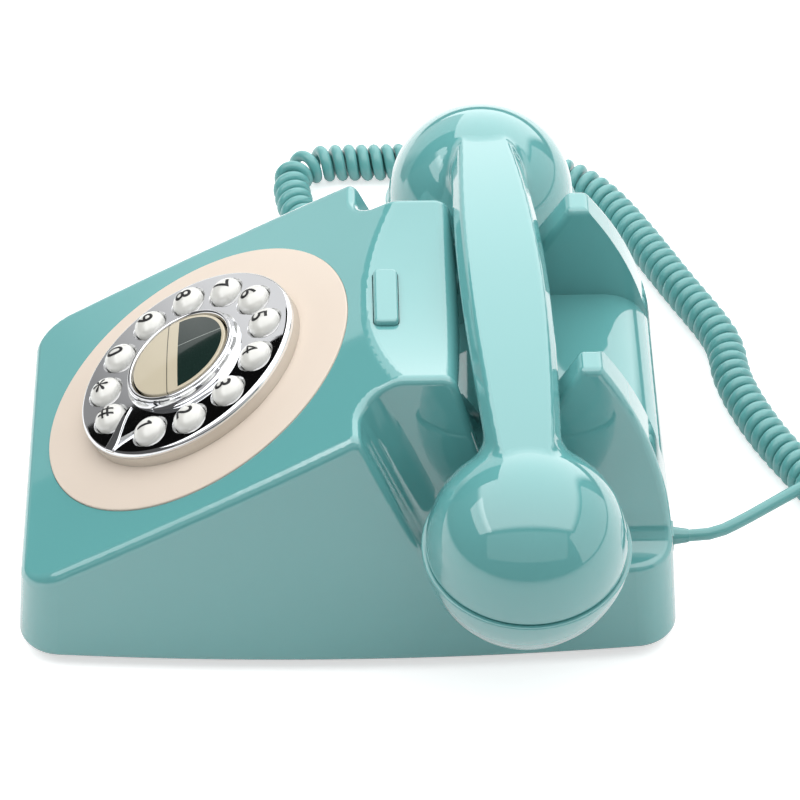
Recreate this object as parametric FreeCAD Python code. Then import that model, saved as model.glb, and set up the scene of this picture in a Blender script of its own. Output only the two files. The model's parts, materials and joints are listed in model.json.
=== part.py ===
import FreeCAD, Part
import math
import os
from FreeCAD import Placement, Rotation, Vector

# Desk telephone with a ring of push keys in the place of a dial.
# Millimetres. +X is the user's right, -Y the front, +Z up.
# The origin is on the table, under the middle of the case.

# Case
FOOT_HEIGHT = 4.0
CASE_LENGTH = 212.0
CASE_WIDTH = 148.0
CASE_END_WIDTH = 137.4
CASE_WALL = 2.8
CASE_CORNER = 14.0
SIDE_DRAFT = 5.0
END_DRAFT = 4.0
BOTTOM_ROUND = 2.0

# Sloping dial face
FRONT_SKIRT = 25.9
DIAL_CREASE_ROUND = 4.0

# Handset cradle: hump, trough and horns
CRADLE_FROM_REAR = 54.9
SADDLE_HEIGHT = 92.9
SADDLE_RADIUS = 185.0
CREST_FROM_CRADLE = 44.39
CREST_ROUND = 8.0
HUMP_REAR = 15.64
HUMP_REAR_SLOPE = 17.0
HUMP_REAR_ROUND = 5.5
TROUGH_DEPTH = 26.9
HORN_RISE = 7.9
HORN_GAP = 70.0
HORN_OUTSIDE = 92.4
HORN_FRONT = 22.3
HORN_FRONT_SLOPE = 30.0
HORN_TIP = 6.1
HORN_ROUND = 2.5
BAR_ROUND = 16.0
CRADLE_SIDE_DRAFT = 7.45

# Side notches that clear the two ends of the handset
NOTCH_WALL = 48.39
NOTCH_UNDER_BALL = 30.2
NOTCH_WALL_SLOPE = 24.5
NOTCH_INNER_ROUND = 9.0
NOTCH_EDGE_ROUND = 2.5

# Handset on its cradle
HANDLE_RISE = 11.6
BALL_DROP = 37.3

# Seat ribs under the handle
RIB_SPACING = 56.0
RIB_WIDTH = 6.0
RIB_LENGTH = 16.0

# Base
BASE_THICKNESS = 2.5
BASE_RECESS = 0.3
BASE_FIT = 0.3
FOOT_RADIUS = 7.0
FOOT_EDGE = 17.0
BOSS_RADIUS = 4.5
BOSS_DEPTH = 7.0
SCREW_RADIUS = 1.5
SCREW_HEAD_RADIUS = 3.0
SCREW_HEAD_HEIGHT = 1.8

# Heights and places that follow from the case's sizes
CASE_TOP = SADDLE_HEIGHT + HORN_RISE
CASE_HEIGHT = CASE_TOP - FOOT_HEIGHT
TROUGH_HEIGHT = SADDLE_HEIGHT - TROUGH_DEPTH
HANDLE_TOP = SADDLE_HEIGHT + HANDLE_RISE
BALL_HEIGHT = HANDLE_TOP - BALL_DROP
NOTCH_FLOOR = BALL_HEIGHT - NOTCH_UNDER_BALL
FRONT_Y = -CASE_LENGTH / 2
REAR_Y = CASE_LENGTH / 2
CRADLE_Y = REAR_Y - CRADLE_FROM_REAR
CREST_Y = CRADLE_Y - CREST_FROM_CRADLE
FRONT_EDGE_Z = FOOT_HEIGHT + FRONT_SKIRT
FRONT_EDGE_Y = FRONT_Y + FRONT_SKIRT * math.tan(math.radians(END_DRAFT))
FACE_RUN = CREST_Y - FRONT_EDGE_Y
FACE_RISE = SADDLE_HEIGHT - FRONT_EDGE_Z
DIAL_TILT = math.degrees(math.atan2(FACE_RISE, FACE_RUN))

# Dial ring, in heights above the rim of the cream surround. The dial fills the face,
# in its length or its width, and its radii are drawn to that scale.
DIAL_SCALE = min(math.hypot(FACE_RUN, FACE_RISE) / 127.5, CASE_WIDTH / 148.0)
DIAL_FROM_FRONT = 58.0 * DIAL_SCALE
SURROUND_RADIUS = 56.5 * DIAL_SCALE
SURROUND_PROUD = 0.6
SURROUND_SEAT = 1.6
SURROUND_RISE = 1.2
SURROUND_FIT = 0.15
DIAL_OPENING = 37.2 * DIAL_SCALE
BEZEL_RADIUS = 39.7 * DIAL_SCALE
BEZEL_HEIGHT = 4.6
BEZEL_LIP = 0.4
BEZEL_LIP_WIDTH = 1.2
BEZEL_SHEET = 1.6
RING_RADIUS = 21.5 * DIAL_SCALE
RING_TOP_RADIUS = 19.4 * DIAL_SCALE
RING_HEIGHT = 5.0
REDIAL_RADIUS = 17.6 * DIAL_SCALE
REDIAL_STEM = 4.0
REDIAL_CROWN = 0.7
BUTTON_FIT = 0.25

# Keys
KEY_NAMES = ("1", "2", "3", "4", "5", "6", "7", "8", "9", "0", "star", "hash")
KEY_CIRCLE = 30.5 * DIAL_SCALE
KEY_PITCH = 28.9
KEY_RADIUS = 5.6 * DIAL_SCALE
KEY_WALL_HEIGHT = 1.6
KEY_DOME = 3.9
KEY_FLANGE = 0.6
KEY_FLANGE_THICKNESS = 1.0
KEY_LIFT_GAP = 0.3
KEY_STEM = 2.5
KEY_TRAVEL = 1.6
STEM_FIT = 0.1
STOP_ANGLE = -45.0
STOP_ROOT_WIDTH = 5.0
STOP_TIP_WIDTH = 0.9
STOP_TIP_CIRCLE = 24.0 * DIAL_SCALE
STOP_RISE = 4.0
STOP_SHEET = 1.2

# Keypad carrier behind the dial face
CHASSIS_RADIUS = 46.5 * DIAL_SCALE
CHASSIS_BORE = 41.0 * DIAL_SCALE
CHASSIS_PLATE = 2.0
CHASSIS_DEPTH = 6.2
STEM_LENGTH = 3.1
KEYPAD_SCREW = 8.6
MAT_THICKNESS = 1.0
BOARD_THICKNESS = 1.6

# Hook switch
HOOK_LENGTH = 27.4
HOOK_WIDTH = 7.9
HOOK_FROM_CREST = 6.6
HOOK_PROUD = 2.4
HOOK_CORNER = 2.0
HOOK_EDGE_ROUND = 1.2
HOOK_DEPTH = 13.0
HOOK_GUIDE_WALL = 2.0
HOOK_GUIDE_DEPTH = 12.0
HOOK_TRAVEL = 4.0
HOOK_PIN = 2.0
HOOK_PIN_LENGTH = 6.4
SWITCH_LENGTH = 20.0
SWITCH_WIDTH = 6.4
SWITCH_HEIGHT = 10.4
BRACKET_SHEET = 2.0

# Ringer
GONG_RADIUS = 22.0
GONG_HEIGHT = 13.0
GONG_SHEET = 1.4
GONG_SPACING = 55.0
GONG_STAND = 7.0
RINGER_GAP = 2.5
HAMMER_BALL = 3.0
HAMMER_ROD = 1.2
HAMMER_LENGTH = 30.0
HAMMER_PIN = 1.5
COIL_RADIUS = 9.0
COIL_LENGTH = 18.0
FRAME_SHEET = 1.5

# Circuit board and ballast
MAIN_BOARD_LENGTH = 46.0
MAIN_BOARD_WIDTH = 78.0
MAIN_BOARD_STAND = 9.0
MAIN_BOARD_FROM_REAR = 58.0
POST_RADIUS = 3.0
BALLAST_LENGTH = 30.0
BALLAST_WIDTH = 60.0
BALLAST_THICKNESS = 5.0

# Rear sockets
SOCKET_WIDTH = 13.0
SOCKET_HEIGHT = 11.0
SOCKET_DEPTH = 14.0
SOCKET_SPACING = 50.0
SOCKET_MOUTH_WIDTH = 8.0
SOCKET_MOUTH_HEIGHT = 7.0
SOCKET_MOUTH_DEPTH = 10.0
PLUG_FIT = 0.2
PLUG_PROUD = 1.5
SLEEVE_RADIUS = 3.0
SLEEVE_LENGTH = 5.0

# Handset
BALL_SPACING = 176.6
BALL_RADIUS = 31.25
BALL_WALL = 2.6
HANDSET_YAW = 2.58
CAP_TILT = 10.0
CAP_RADIUS = 32.5
CAP_DEPTH = 23.0
CAP_EDGE_ROUND = 3.0
CAP_GROOVE = 0.8
CAP_WALL = 2.4
CAP_SPIGOT = 4.5
CAP_FIT = 0.3
SOUND_HOLE = 1.3
SOUND_RINGS = ((0.0, 1), (5.5, 6), (11.0, 12))
HANDLE_WIDTH = 29.5
HANDLE_END_WIDTH = 21.0
HANDLE_ARCH = 9.0
HANDLE_UNDER_SHARE = 0.4
HANDLE_THICKNESS = 26.5
HANDLE_UNDER_ARCH = 8.0
HANDLE_BEVEL_WIDTH = 3.2
HANDLE_BEVEL_HEIGHT = 5.5
HANDLE_ROUNDS = (2.5, 4.0, 4.0)
HANDLE_BLEND = 8.0
HANDSET_SEAT_GAP = 0.3
WIRE_DUCT = 5.0
RECEIVER_RADIUS = 20.0
MICROPHONE_RADIUS = 14.0
CAPSULE_DEPTH = 9.0
GROMMET_RADIUS = 3.9
GROMMET_TIP = 2.9
GROMMET_LENGTH = 9.0

# Handset cord: where its wire and the middle line of its curls run on the table,
# drawn for this rear wall and this height of the handset's balls, and moved with them
ROUTE_REAR = 106.0
ROUTE_BALL_HEIGHT = 67.2
WIRE_DIAMETER = 4.1
CURL_DIAMETER = 13.6
CURL_GAP = 0.56
TABLE_GAP = 0.1
CURL_ROUTE = (
    (-134.5, 40.0), (-131.5, 26.0), (-131.5, 11.0), (-136.0, -2.5), (-145.5, -11.5), (-156.5, -15.5),
    (-167.0, -17.5), (-178.5, -18.6), (-186.5, -12.0), (-187.8, -0.5), (-187.4, 12.0), (-188.0, 28.0),
    (-187.5, 46.0), (-185.0, 64.0), (-180.0, 78.0), (-172.5, 88.5), (-160.0, 97.5), (-140.0, 107.0),
    (-111.0, 119.2), (-90.0, 129.0), (-77.4, 133.0), (-63.5, 133.2), (-47.7, 137.0), (-29.2, 143.8),
    (-12.6, 152.4), (2.5, 160.0), (17.0, 167.0), (28.0, 173.5),
)
HANDSET_TAIL_ROUTE = (
    (-141.5, 45.9, 62.0), (-146.0, 44.9, 54.0), (-147.5, 43.7, 43.0), (-144.8, 42.6, 31.5),
)
CASE_TAIL_ROUTE = (
    (21.0, 128.0, 13.6), (16.0, 137.5, 15.8), (10.5, 148.0, 18.3), (5.0, 158.0, 20.5), (-2.0, 167.0, 20.5),
    (-9.5, 175.0, 14.5), (-15.5, 185.0, 7.0), (-18.5, 197.0, 2.8), (-12.0, 208.0, 2.2), (0.5, 211.0, 2.15),
    (12.0, 204.5, 2.15),
)
TAIL_LEAD = 12.0
TAIL_START = 7.5
GLAND_LEAD = 6.6

MAIN_BOARD_Y = REAR_Y - MAIN_BOARD_FROM_REAR
BASE_BOTTOM = FOOT_HEIGHT + BASE_RECESS
BASE_TOP = BASE_BOTTOM + BASE_THICKNESS
FAR = 400.0


def tan(degrees):
    return math.tan(math.radians(degrees))


def sin(degrees):
    return math.sin(math.radians(degrees))


def cos(degrees):
    return math.cos(math.radians(degrees))


# Straight walls of the case, each moved into the case by an inset

def front_wall(z, inset=0.0):
    return FRONT_Y + (z - FOOT_HEIGHT) * tan(END_DRAFT) + inset / cos(END_DRAFT)


def rear_wall(z, inset=0.0):
    return REAR_Y - (z - FOOT_HEIGHT) * tan(END_DRAFT) - inset / cos(END_DRAFT)


def dial_face(y, inset=0.0):
    return FRONT_EDGE_Z + (y - FRONT_EDGE_Y) * tan(DIAL_TILT) - inset / cos(DIAL_TILT)


def hump_rear(z, inset=0.0):
    return CRADLE_Y - HUMP_REAR + (SADDLE_HEIGHT - z) * tan(HUMP_REAR_SLOPE) - inset


def horn_front(z):
    return CRADLE_Y + HORN_FRONT - (CASE_TOP - z) * tan(HORN_FRONT_SLOPE)


def notch_wall(z, inset=0.0):
    lean = (SADDLE_HEIGHT - z) * tan(NOTCH_WALL_SLOPE)
    return CRADLE_Y - NOTCH_WALL + lean - inset / cos(NOTCH_WALL_SLOPE)


def cradle_side(z, inset=0.0):
    return HORN_OUTSIDE / 2 + (CASE_TOP - z) * tan(CRADLE_SIDE_DRAFT) - inset


DIAL_Y = FRONT_Y + DIAL_FROM_FRONT
DIAL_PLACE = Placement(Vector(0, DIAL_Y, dial_face(DIAL_Y)), Rotation(Vector(1, 0, 0), DIAL_TILT))
DIAL_PLACE.Base = DIAL_PLACE.Base + DIAL_PLACE.Rotation.multVec(Vector(0, 0, SURROUND_PROUD))


# Solids from profiles

def box(low, high):
    size = Vector(*high) - Vector(*low)
    return Part.makeBox(size.x, size.y, size.z, Vector(*low))


def rod(radius, start, end):
    along = Vector(*end) - Vector(*start)
    return Part.makeCylinder(radius, along.Length, Vector(*start), along)


def polygon_face(points):
    return Part.Face(Part.makePolygon(points + points[:1]))


def prism_x(outline, x0, x1):
    """Outline of (y, z) points drawn out along X."""
    return polygon_face([Vector(x0, y, z) for y, z in outline]).extrude(Vector(x1 - x0, 0, 0))


def prism_y(outline, y0, y1):
    """Outline of (x, z) points drawn out along Y."""
    return polygon_face([Vector(x, y0, z) for x, z in outline]).extrude(Vector(0, y1 - y0, 0))


def turned(edges):
    """Solid of revolution about Z from edges in the XZ plane."""
    return Part.Face(Part.Wire(edges)).revolve(Vector(0, 0, 0), Vector(0, 0, 1), 360)


def path_edges(points):
    """Straight edges through (r, z) points in the XZ plane."""
    ends = [Vector(r, 0, z) for r, z in points]
    return [Part.makeLine(a, b) for a, b in zip(ends, ends[1:])]


def arc_edge(first, middle, last):
    return Part.Arc(*[Vector(r, 0, z) for r, z in (first, middle, last)]).toShape()


def turned_polygon(points):
    return turned(path_edges(points + points[:1]))


def mirrored(shape):
    return shape.mirror(Vector(0, 0, 0), Vector(1, 0, 0))


def placed(shape, place):
    moved = shape.copy()
    moved.Placement = place.multiply(moved.Placement)
    return moved


def solid_of(shape):
    return shape.removeSplitter().Solids[0]


def rounded(shape, radius, test):
    """Round the edges whose points all pass the test."""
    def chosen(edge):
        first, last = edge.ParameterRange
        return all(test(edge.valueAt(first + (last - first) * k / 4)) for k in range(5))
    return shape.makeFillet(radius, [edge for edge in shape.Edges if chosen(edge)]).Solids[0]


# Case

def side_half_width(y, z, inset=0.0):
    narrowing = (z - FOOT_HEIGHT) * tan(SIDE_DRAFT) + inset
    bow = (CASE_WIDTH - CASE_END_WIDTH) / 2
    return CASE_WIDTH / 2 - narrowing - bow * (y / REAR_Y) ** 2


def side_walls(inset):
    """Block between the two bowed and drafted side walls."""
    reach = CASE_LENGTH * 0.6
    sections = []
    for z in (FOOT_HEIGHT - 20, CASE_TOP + 20):
        end = side_half_width(reach, z, inset)
        middle = side_half_width(0, z, inset)
        right = Part.Arc(Vector(end, -reach, z), Vector(middle, 0, z), Vector(end, reach, z)).toShape()
        rear = Part.makeLine(Vector(end, reach, z), Vector(-end, reach, z))
        left = Part.Arc(Vector(-end, reach, z), Vector(-middle, 0, z), Vector(-end, -reach, z)).toShape()
        front = Part.makeLine(Vector(-end, -reach, z), Vector(end, -reach, z))
        sections.append(Part.Wire([right, rear, left, front]))
    return Part.makeLoft(sections, True, True)


def case_profile(inset):
    """Side profile: front skirt, dial face, top, curved back of the horns and rear wall."""
    top = CASE_TOP - inset
    bottom = FOOT_HEIGHT
    slope_gap = inset / cos(DIAL_TILT) + (inset / cos(END_DRAFT)) * -tan(DIAL_TILT)
    front_z = FRONT_EDGE_Z - slope_gap / (1 - tan(DIAL_TILT) * tan(END_DRAFT))
    front = (front_wall(front_z, inset), front_z)
    crest = (FRONT_EDGE_Y + (top + inset / cos(DIAL_TILT) - FRONT_EDGE_Z) / tan(DIAL_TILT), top)
    tip = (CRADLE_Y + HORN_FRONT + HORN_TIP, top)
    foot = (rear_wall(NOTCH_FLOOR, inset), NOTCH_FLOOR)
    chord = math.hypot(tip[0] - foot[0], tip[1] - foot[1])
    lean = math.degrees(math.atan2(foot[0] - tip[0], tip[1] - foot[1]))
    bulge = chord / 2 * tan((lean - END_DRAFT) / 2)
    middle = ((tip[0] + foot[0]) / 2 + bulge * cos(lean), (tip[1] + foot[1]) / 2 + bulge * sin(lean))
    corners = [(rear_wall(bottom, inset), bottom), (front_wall(bottom, inset), bottom), front, crest, tip]
    at = [Vector(-FAR / 2, y, z) for y, z in corners]
    edges = [Part.makeLine(a, b) for a, b in zip(at, at[1:])]
    edges.append(Part.Arc(at[-1], Vector(-FAR / 2, *middle), Vector(-FAR / 2, *foot)).toShape())
    edges.append(Part.makeLine(Vector(-FAR / 2, *foot), at[0]))
    return Part.Face(Part.Wire(edges)).extrude(Vector(FAR, 0, 0))


def on_side(p, inset=0.0):
    return abs(abs(p.x) - side_half_width(p.y, p.z, inset)) < 0.3


def case_block(inset):
    """The case before its cradle is cut, with its upright corners rounded."""
    block = solid_of(case_profile(inset).common(side_walls(inset)))
    horn_back = CRADLE_Y + HORN_FRONT + HORN_TIP - 0.1

    def upright(p):
        at_end = abs(p.y - front_wall(p.z, inset)) < 0.05 or p.y > horn_back
        return at_end and on_side(p, inset)
    return rounded(block, CASE_CORNER - inset, upright)


def notch_tool(inset):
    """Space cut from the right side of the case, bounded by the wall, the cradle and the floor."""
    floor = NOTCH_FLOOR - inset
    top = CASE_TOP + 20
    wall = prism_x([(notch_wall(top, inset), top), (notch_wall(floor, inset), floor), (FAR, floor), (FAR, top)],
                   HORN_GAP / 4, FAR)
    side = prism_y([(cradle_side(top, inset), top), (cradle_side(floor, inset), floor), (FAR, floor), (FAR, top)],
                   -FAR, FAR)
    tool = solid_of(wall.common(side))

    def meeting(point):
        return sum((abs(point.x - cradle_side(point.z, inset)) < 0.01,
                    abs(point.y - notch_wall(point.z, inset)) < 0.01,
                    abs(point.z - floor) < 0.01)) >= 2
    return rounded(tool, NOTCH_INNER_ROUND + inset, meeting)


def on_dial(p):
    return abs(p.z - dial_face(p.y)) < 0.05


def on_saddle(p):
    return p.y < CRADLE_Y and abs(math.hypot(p.x, p.z - SADDLE_HEIGHT - SADDLE_RADIUS) - SADDLE_RADIUS) < 0.05


def case_outside():
    case = case_block(0.0)
    notch = notch_tool(0.0)
    case = case.cut(notch).cut(mirrored(notch))
    saddle_axis = Vector(0, FRONT_Y / 4, SADDLE_HEIGHT + SADDLE_RADIUS)
    case = case.cut(Part.makeCylinder(SADDLE_RADIUS, CRADLE_Y - FRONT_Y / 4, saddle_axis, Vector(0, 1, 0)))
    above = CASE_TOP + 20
    trough = [(hump_rear(above), above), (hump_rear(TROUGH_HEIGHT), TROUGH_HEIGHT),
              (horn_front(TROUGH_HEIGHT), TROUGH_HEIGHT), (horn_front(above), above)]
    case = case.cut(prism_x(trough, -FAR / 2, FAR / 2))
    case = case.cut(box((-HORN_GAP / 2, hump_rear(TROUGH_HEIGHT), TROUGH_HEIGHT), (HORN_GAP / 2, FAR, FAR)))
    case = solid_of(case)
    bar_edge = CRADLE_Y + HORN_FRONT + HORN_TIP
    case = rounded(case, BAR_ROUND, lambda p: abs(p.z - TROUGH_HEIGHT) < 0.05 and p.y > bar_edge)
    case = rounded(case, HORN_ROUND, lambda p: abs(p.z - CASE_TOP) < 0.05 and p.y > CRADLE_Y)
    case = rounded(case, DIAL_CREASE_ROUND, lambda p: on_dial(p) and on_side(p))
    case = rounded(case, CREST_ROUND, lambda p: on_saddle(p) and on_dial(p))
    case = rounded(case, HUMP_REAR_ROUND, lambda p: on_saddle(p) and abs(p.y - hump_rear(p.z)) < 0.05)
    case = rounded(case, HORN_ROUND,
                   lambda p: abs(abs(p.x) - cradle_side(p.z)) < 0.05 and abs(p.y - horn_front(p.z)) < 0.05)
    case = rounded(case, HORN_ROUND,
                   lambda p: abs(abs(p.x) - HORN_GAP / 2) < 0.02 and abs(p.y - horn_front(p.z)) < 0.05)
    wing = cradle_side(CASE_TOP)
    case = rounded(case, NOTCH_EDGE_ROUND, lambda p: on_dial(p) and abs(p.x) > wing and p.y > notch_wall(CASE_TOP))
    return rounded(case, BOTTOM_ROUND, lambda p: abs(p.z - FOOT_HEIGHT) < 0.01)


def case_inside():
    """Hollow of the case, one wall in from the outside; the horns stay solid."""
    hollow = case_block(CASE_WALL)
    notch = notch_tool(CASE_WALL)
    hollow = hollow.cut(notch).cut(mirrored(notch))
    axis = Vector(0, FRONT_Y / 4, SADDLE_HEIGHT + SADDLE_RADIUS)
    hollow = hollow.cut(Part.makeCylinder(SADDLE_RADIUS + CASE_WALL, FAR, axis, Vector(0, 1, 0)))
    top = CASE_TOP + 20
    floor = TROUGH_HEIGHT - CASE_WALL
    cradle = [(hump_rear(top, CASE_WALL), top), (hump_rear(floor, CASE_WALL), floor), (FAR, floor), (FAR, top)]
    hollow = solid_of(hollow.cut(prism_x(cradle, -FAR / 2, FAR / 2)))
    bar_edge = CRADLE_Y + HORN_FRONT + HORN_TIP
    return rounded(hollow, BAR_ROUND - CASE_WALL, lambda p: abs(p.z - floor) < 0.05 and p.y > bar_edge)


def boss_places():
    """The four screw bosses, over the feet."""
    x = CASE_END_WIDTH / 2 - FOOT_EDGE
    return [Vector(sx * x, y, 0) for sx in (-1, 1) for y in (FRONT_Y + FOOT_EDGE, REAR_Y - FOOT_EDGE)]


def hook_centre():
    return Vector(0, CREST_Y + HOOK_FROM_CREST, SADDLE_HEIGHT)


def hook_block(clearance, low, high):
    """Upright block round the hook bar, its corners rounded to keep the clearance all round."""
    centre = hook_centre()
    half = Vector(HOOK_LENGTH / 2 + clearance, HOOK_WIDTH / 2 + clearance, 0)
    block = box(tuple(centre - half + Vector(0, 0, low)), tuple(centre + half + Vector(0, 0, high)))
    corners = [edge for edge in block.Edges if abs(edge.BoundBox.ZLength - (high - low)) < 0.01]
    return block.makeFillet(HOOK_CORNER + clearance, corners)


def socket_centre(side):
    z = BASE_TOP + SOCKET_HEIGHT / 2
    return Vector(side * SOCKET_SPACING / 2, rear_wall(z, CASE_WALL) - 0.5, z)


def handle_underside(x):
    return HANDLE_TOP - HANDLE_THICKNESS - HANDLE_UNDER_ARCH * (2 * x / BALL_SPACING) ** 2


def upper_case():
    outside = case_outside()
    case = outside.cut(case_inside())
    for place in boss_places():
        boss = Part.makeCylinder(BOSS_RADIUS, CASE_HEIGHT, place + Vector(0, 0, BASE_TOP))
        case = case.fuse(boss.common(outside))
    guide = hook_block(BUTTON_FIT + HOOK_GUIDE_WALL, -HOOK_GUIDE_DEPTH, 0).common(outside)
    case = case.fuse(guide)
    underside = handle_underside((RIB_SPACING + RIB_WIDTH) / 2) - HANDSET_SEAT_GAP
    for side in (-1, 1):
        middle = Vector(side * RIB_SPACING / 2, CRADLE_Y + side * RIB_SPACING / 2 * tan(HANDSET_YAW), 0)
        half = Vector(RIB_WIDTH / 2, RIB_LENGTH / 2, 0)
        low = middle - half + Vector(0, 0, TROUGH_HEIGHT - CASE_WALL / 2)
        case = case.fuse(box(tuple(low), tuple(middle + half + Vector(0, 0, underside))))
    case = case.cut(hook_block(BUTTON_FIT, -FAR, FAR))
    recess = Part.makeCylinder(SURROUND_RADIUS + SURROUND_FIT, FAR / 8,
                               Vector(0, 0, -SURROUND_PROUD - SURROUND_SEAT))
    near_face = Part.makeCylinder(DIAL_OPENING, CASE_WALL * 3, Vector(0, 0, -CASE_WALL * 2))
    case = case.cut(placed(near_face, DIAL_PLACE)).cut(placed(recess, DIAL_PLACE))
    for place in boss_places():
        case = case.cut(Part.makeCylinder(SCREW_RADIUS, BASE_TOP + BOSS_DEPTH, place))
    for hole in keypad_screw_holes():
        case = case.cut(placed(hole, DIAL_PLACE))
    for side in (-1, 1):
        middle = socket_centre(side)
        half = Vector(SOCKET_MOUTH_WIDTH / 2 + 1, 0, SOCKET_MOUTH_HEIGHT / 2 + 1)
        case = case.cut(box(tuple(middle - half), tuple(middle + half + Vector(0, CASE_WALL * 4, 0))))
    return solid_of(case)


def screw(length, head_at, place):
    """Screw pointing up local Z, its head below head_at."""
    shank = Part.makeCylinder(SCREW_RADIUS, length, Vector(0, 0, head_at))
    head = Part.makeCylinder(SCREW_HEAD_RADIUS, SCREW_HEAD_HEIGHT, Vector(0, 0, head_at - SCREW_HEAD_HEIGHT))
    slot = box((-SCREW_HEAD_RADIUS, -0.4, head_at - SCREW_HEAD_HEIGHT),
               (SCREW_HEAD_RADIUS, 0.4, head_at - SCREW_HEAD_HEIGHT / 2))
    return placed(shank.fuse(head).cut(slot), place)


# Base

def main_board_posts():
    x = MAIN_BOARD_WIDTH / 2 - POST_RADIUS - 1
    y = MAIN_BOARD_LENGTH / 2 - POST_RADIUS - 1
    return [Vector(sx * x, MAIN_BOARD_Y + sy * y, BASE_TOP) for sx in (-1, 1) for sy in (-1, 1)]


def base_plate():
    inset = CASE_WALL + BASE_FIT
    slab = box((-FAR, -FAR, BASE_BOTTOM), (FAR, FAR, BASE_TOP))
    plate = case_block(inset).common(slab)
    for post in main_board_posts():
        plate = plate.fuse(Part.makeCylinder(POST_RADIUS, MAIN_BOARD_STAND, post))
    for place in boss_places():
        plate = plate.cut(Part.makeCylinder(SCREW_RADIUS, BASE_TOP * 2, place))
    return solid_of(plate)


def rubber_feet():
    foot = Part.makeCylinder(FOOT_RADIUS, BASE_BOTTOM)
    foot = rounded(foot, 1.0, lambda p: abs(p.z) < 0.01)
    foot = foot.cut(Part.makeCylinder(SCREW_HEAD_RADIUS + 0.6, BASE_BOTTOM))
    return Part.makeCompound([placed(foot, Placement(at, Rotation())) for at in boss_places()])


def case_screws():
    length = BASE_THICKNESS + BOSS_DEPTH
    return Part.makeCompound([screw(length, BASE_BOTTOM, Placement(at, Rotation())) for at in boss_places()])


# Dial, drawn level with its axis on Z and then placed on the sloping face

BEZEL_SEAT = SURROUND_RISE
BEZEL_TOP = BEZEL_SEAT + BEZEL_HEIGHT
BEZEL_UNDER = BEZEL_TOP - BEZEL_SHEET
FLANGE_TOP = BEZEL_UNDER - KEY_LIFT_GAP
FLANGE_UNDER = FLANGE_TOP - KEY_FLANGE_THICKNESS
CHASSIS_TOP = -SURROUND_PROUD - CASE_WALL
CHASSIS_UNDER = CHASSIS_TOP - CHASSIS_DEPTH
STEM_END = CHASSIS_TOP - STEM_LENGTH
REDIAL_SKIRT = BEZEL_TOP + KEY_TRAVEL + 0.2
REDIAL_RIM = BEZEL_TOP + RING_HEIGHT - 0.1
FIRST_KEY = STOP_ANGLE + (360 - KEY_PITCH * (len(KEY_NAMES) - 1)) / 2


def key_place(index):
    angle = FIRST_KEY + index * KEY_PITCH
    return Vector(KEY_CIRCLE * cos(angle), KEY_CIRCLE * sin(angle), 0)


def crown(radius, rim, rise):
    """Arc from the rim of a domed top to its middle."""
    ball = (radius ** 2 + rise ** 2) / (2 * rise)
    half = math.asin(radius / ball) / 2
    middle = (ball * math.sin(half), rim + rise - ball * (1 - math.cos(half)))
    return arc_edge((radius, rim), middle, (0, rim + rise))


def dial_surround():
    under = -SURROUND_PROUD - SURROUND_SEAT
    step = BEZEL_RADIUS + 1.3
    rim = SURROUND_RADIUS
    edges = path_edges([(step, BEZEL_SEAT), (DIAL_OPENING, BEZEL_SEAT), (DIAL_OPENING, under), (rim, under),
                        (rim, -0.5)])
    edges.append(arc_edge((rim, -0.5), (rim - 0.15, -0.15), (rim - 0.5, 0)))
    edges.append(arc_edge((rim - 0.5, 0), ((rim + step) / 2, BEZEL_SEAT * 0.7), (step, BEZEL_SEAT)))
    return placed(turned(edges), DIAL_PLACE)


def dial_bezel():
    lip = BEZEL_TOP + BEZEL_LIP
    wall = BEZEL_RADIUS - BEZEL_SHEET
    hole = REDIAL_STEM + BUTTON_FIT
    inner_lip = BEZEL_RADIUS - BEZEL_LIP_WIDTH
    edges = path_edges([(inner_lip - 0.4, BEZEL_TOP), (hole, BEZEL_TOP), (hole, BEZEL_UNDER), (wall, BEZEL_UNDER),
                        (wall, BEZEL_SEAT), (BEZEL_RADIUS, BEZEL_SEAT), (BEZEL_RADIUS, lip - 0.6)])
    edges.append(arc_edge((BEZEL_RADIUS, lip - 0.6), (BEZEL_RADIUS - 0.2, lip - 0.2), (BEZEL_RADIUS - 0.6, lip)))
    edges += path_edges([(BEZEL_RADIUS - 0.6, lip), (inner_lip, lip), (inner_lip - 0.4, BEZEL_TOP)])
    bezel = turned(edges)
    for index in range(len(KEY_NAMES)):
        bezel = bezel.cut(Part.makeCylinder(KEY_RADIUS + BUTTON_FIT, BEZEL_TOP * 2, key_place(index)))
    return placed(bezel, DIAL_PLACE)


def centre_ring():
    bore = REDIAL_RADIUS + BUTTON_FIT
    top = BEZEL_TOP + RING_HEIGHT
    edges = path_edges([(bore, top - 0.3), (bore, BEZEL_TOP), (RING_RADIUS, BEZEL_TOP), (RING_RADIUS, BEZEL_TOP + 0.6)])
    flare = (RING_TOP_RADIUS + 0.5, BEZEL_TOP + RING_HEIGHT * 0.5)
    edges.append(arc_edge((RING_RADIUS, BEZEL_TOP + 0.6), flare, (RING_TOP_RADIUS, top - 0.6)))
    edges.append(arc_edge((RING_TOP_RADIUS, top - 0.6), (RING_TOP_RADIUS - 0.2, top - 0.2), (RING_TOP_RADIUS - 0.6, top)))
    edges += path_edges([(RING_TOP_RADIUS - 0.6, top), (bore, top - 0.3)])
    return placed(turned(edges), DIAL_PLACE)


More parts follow.
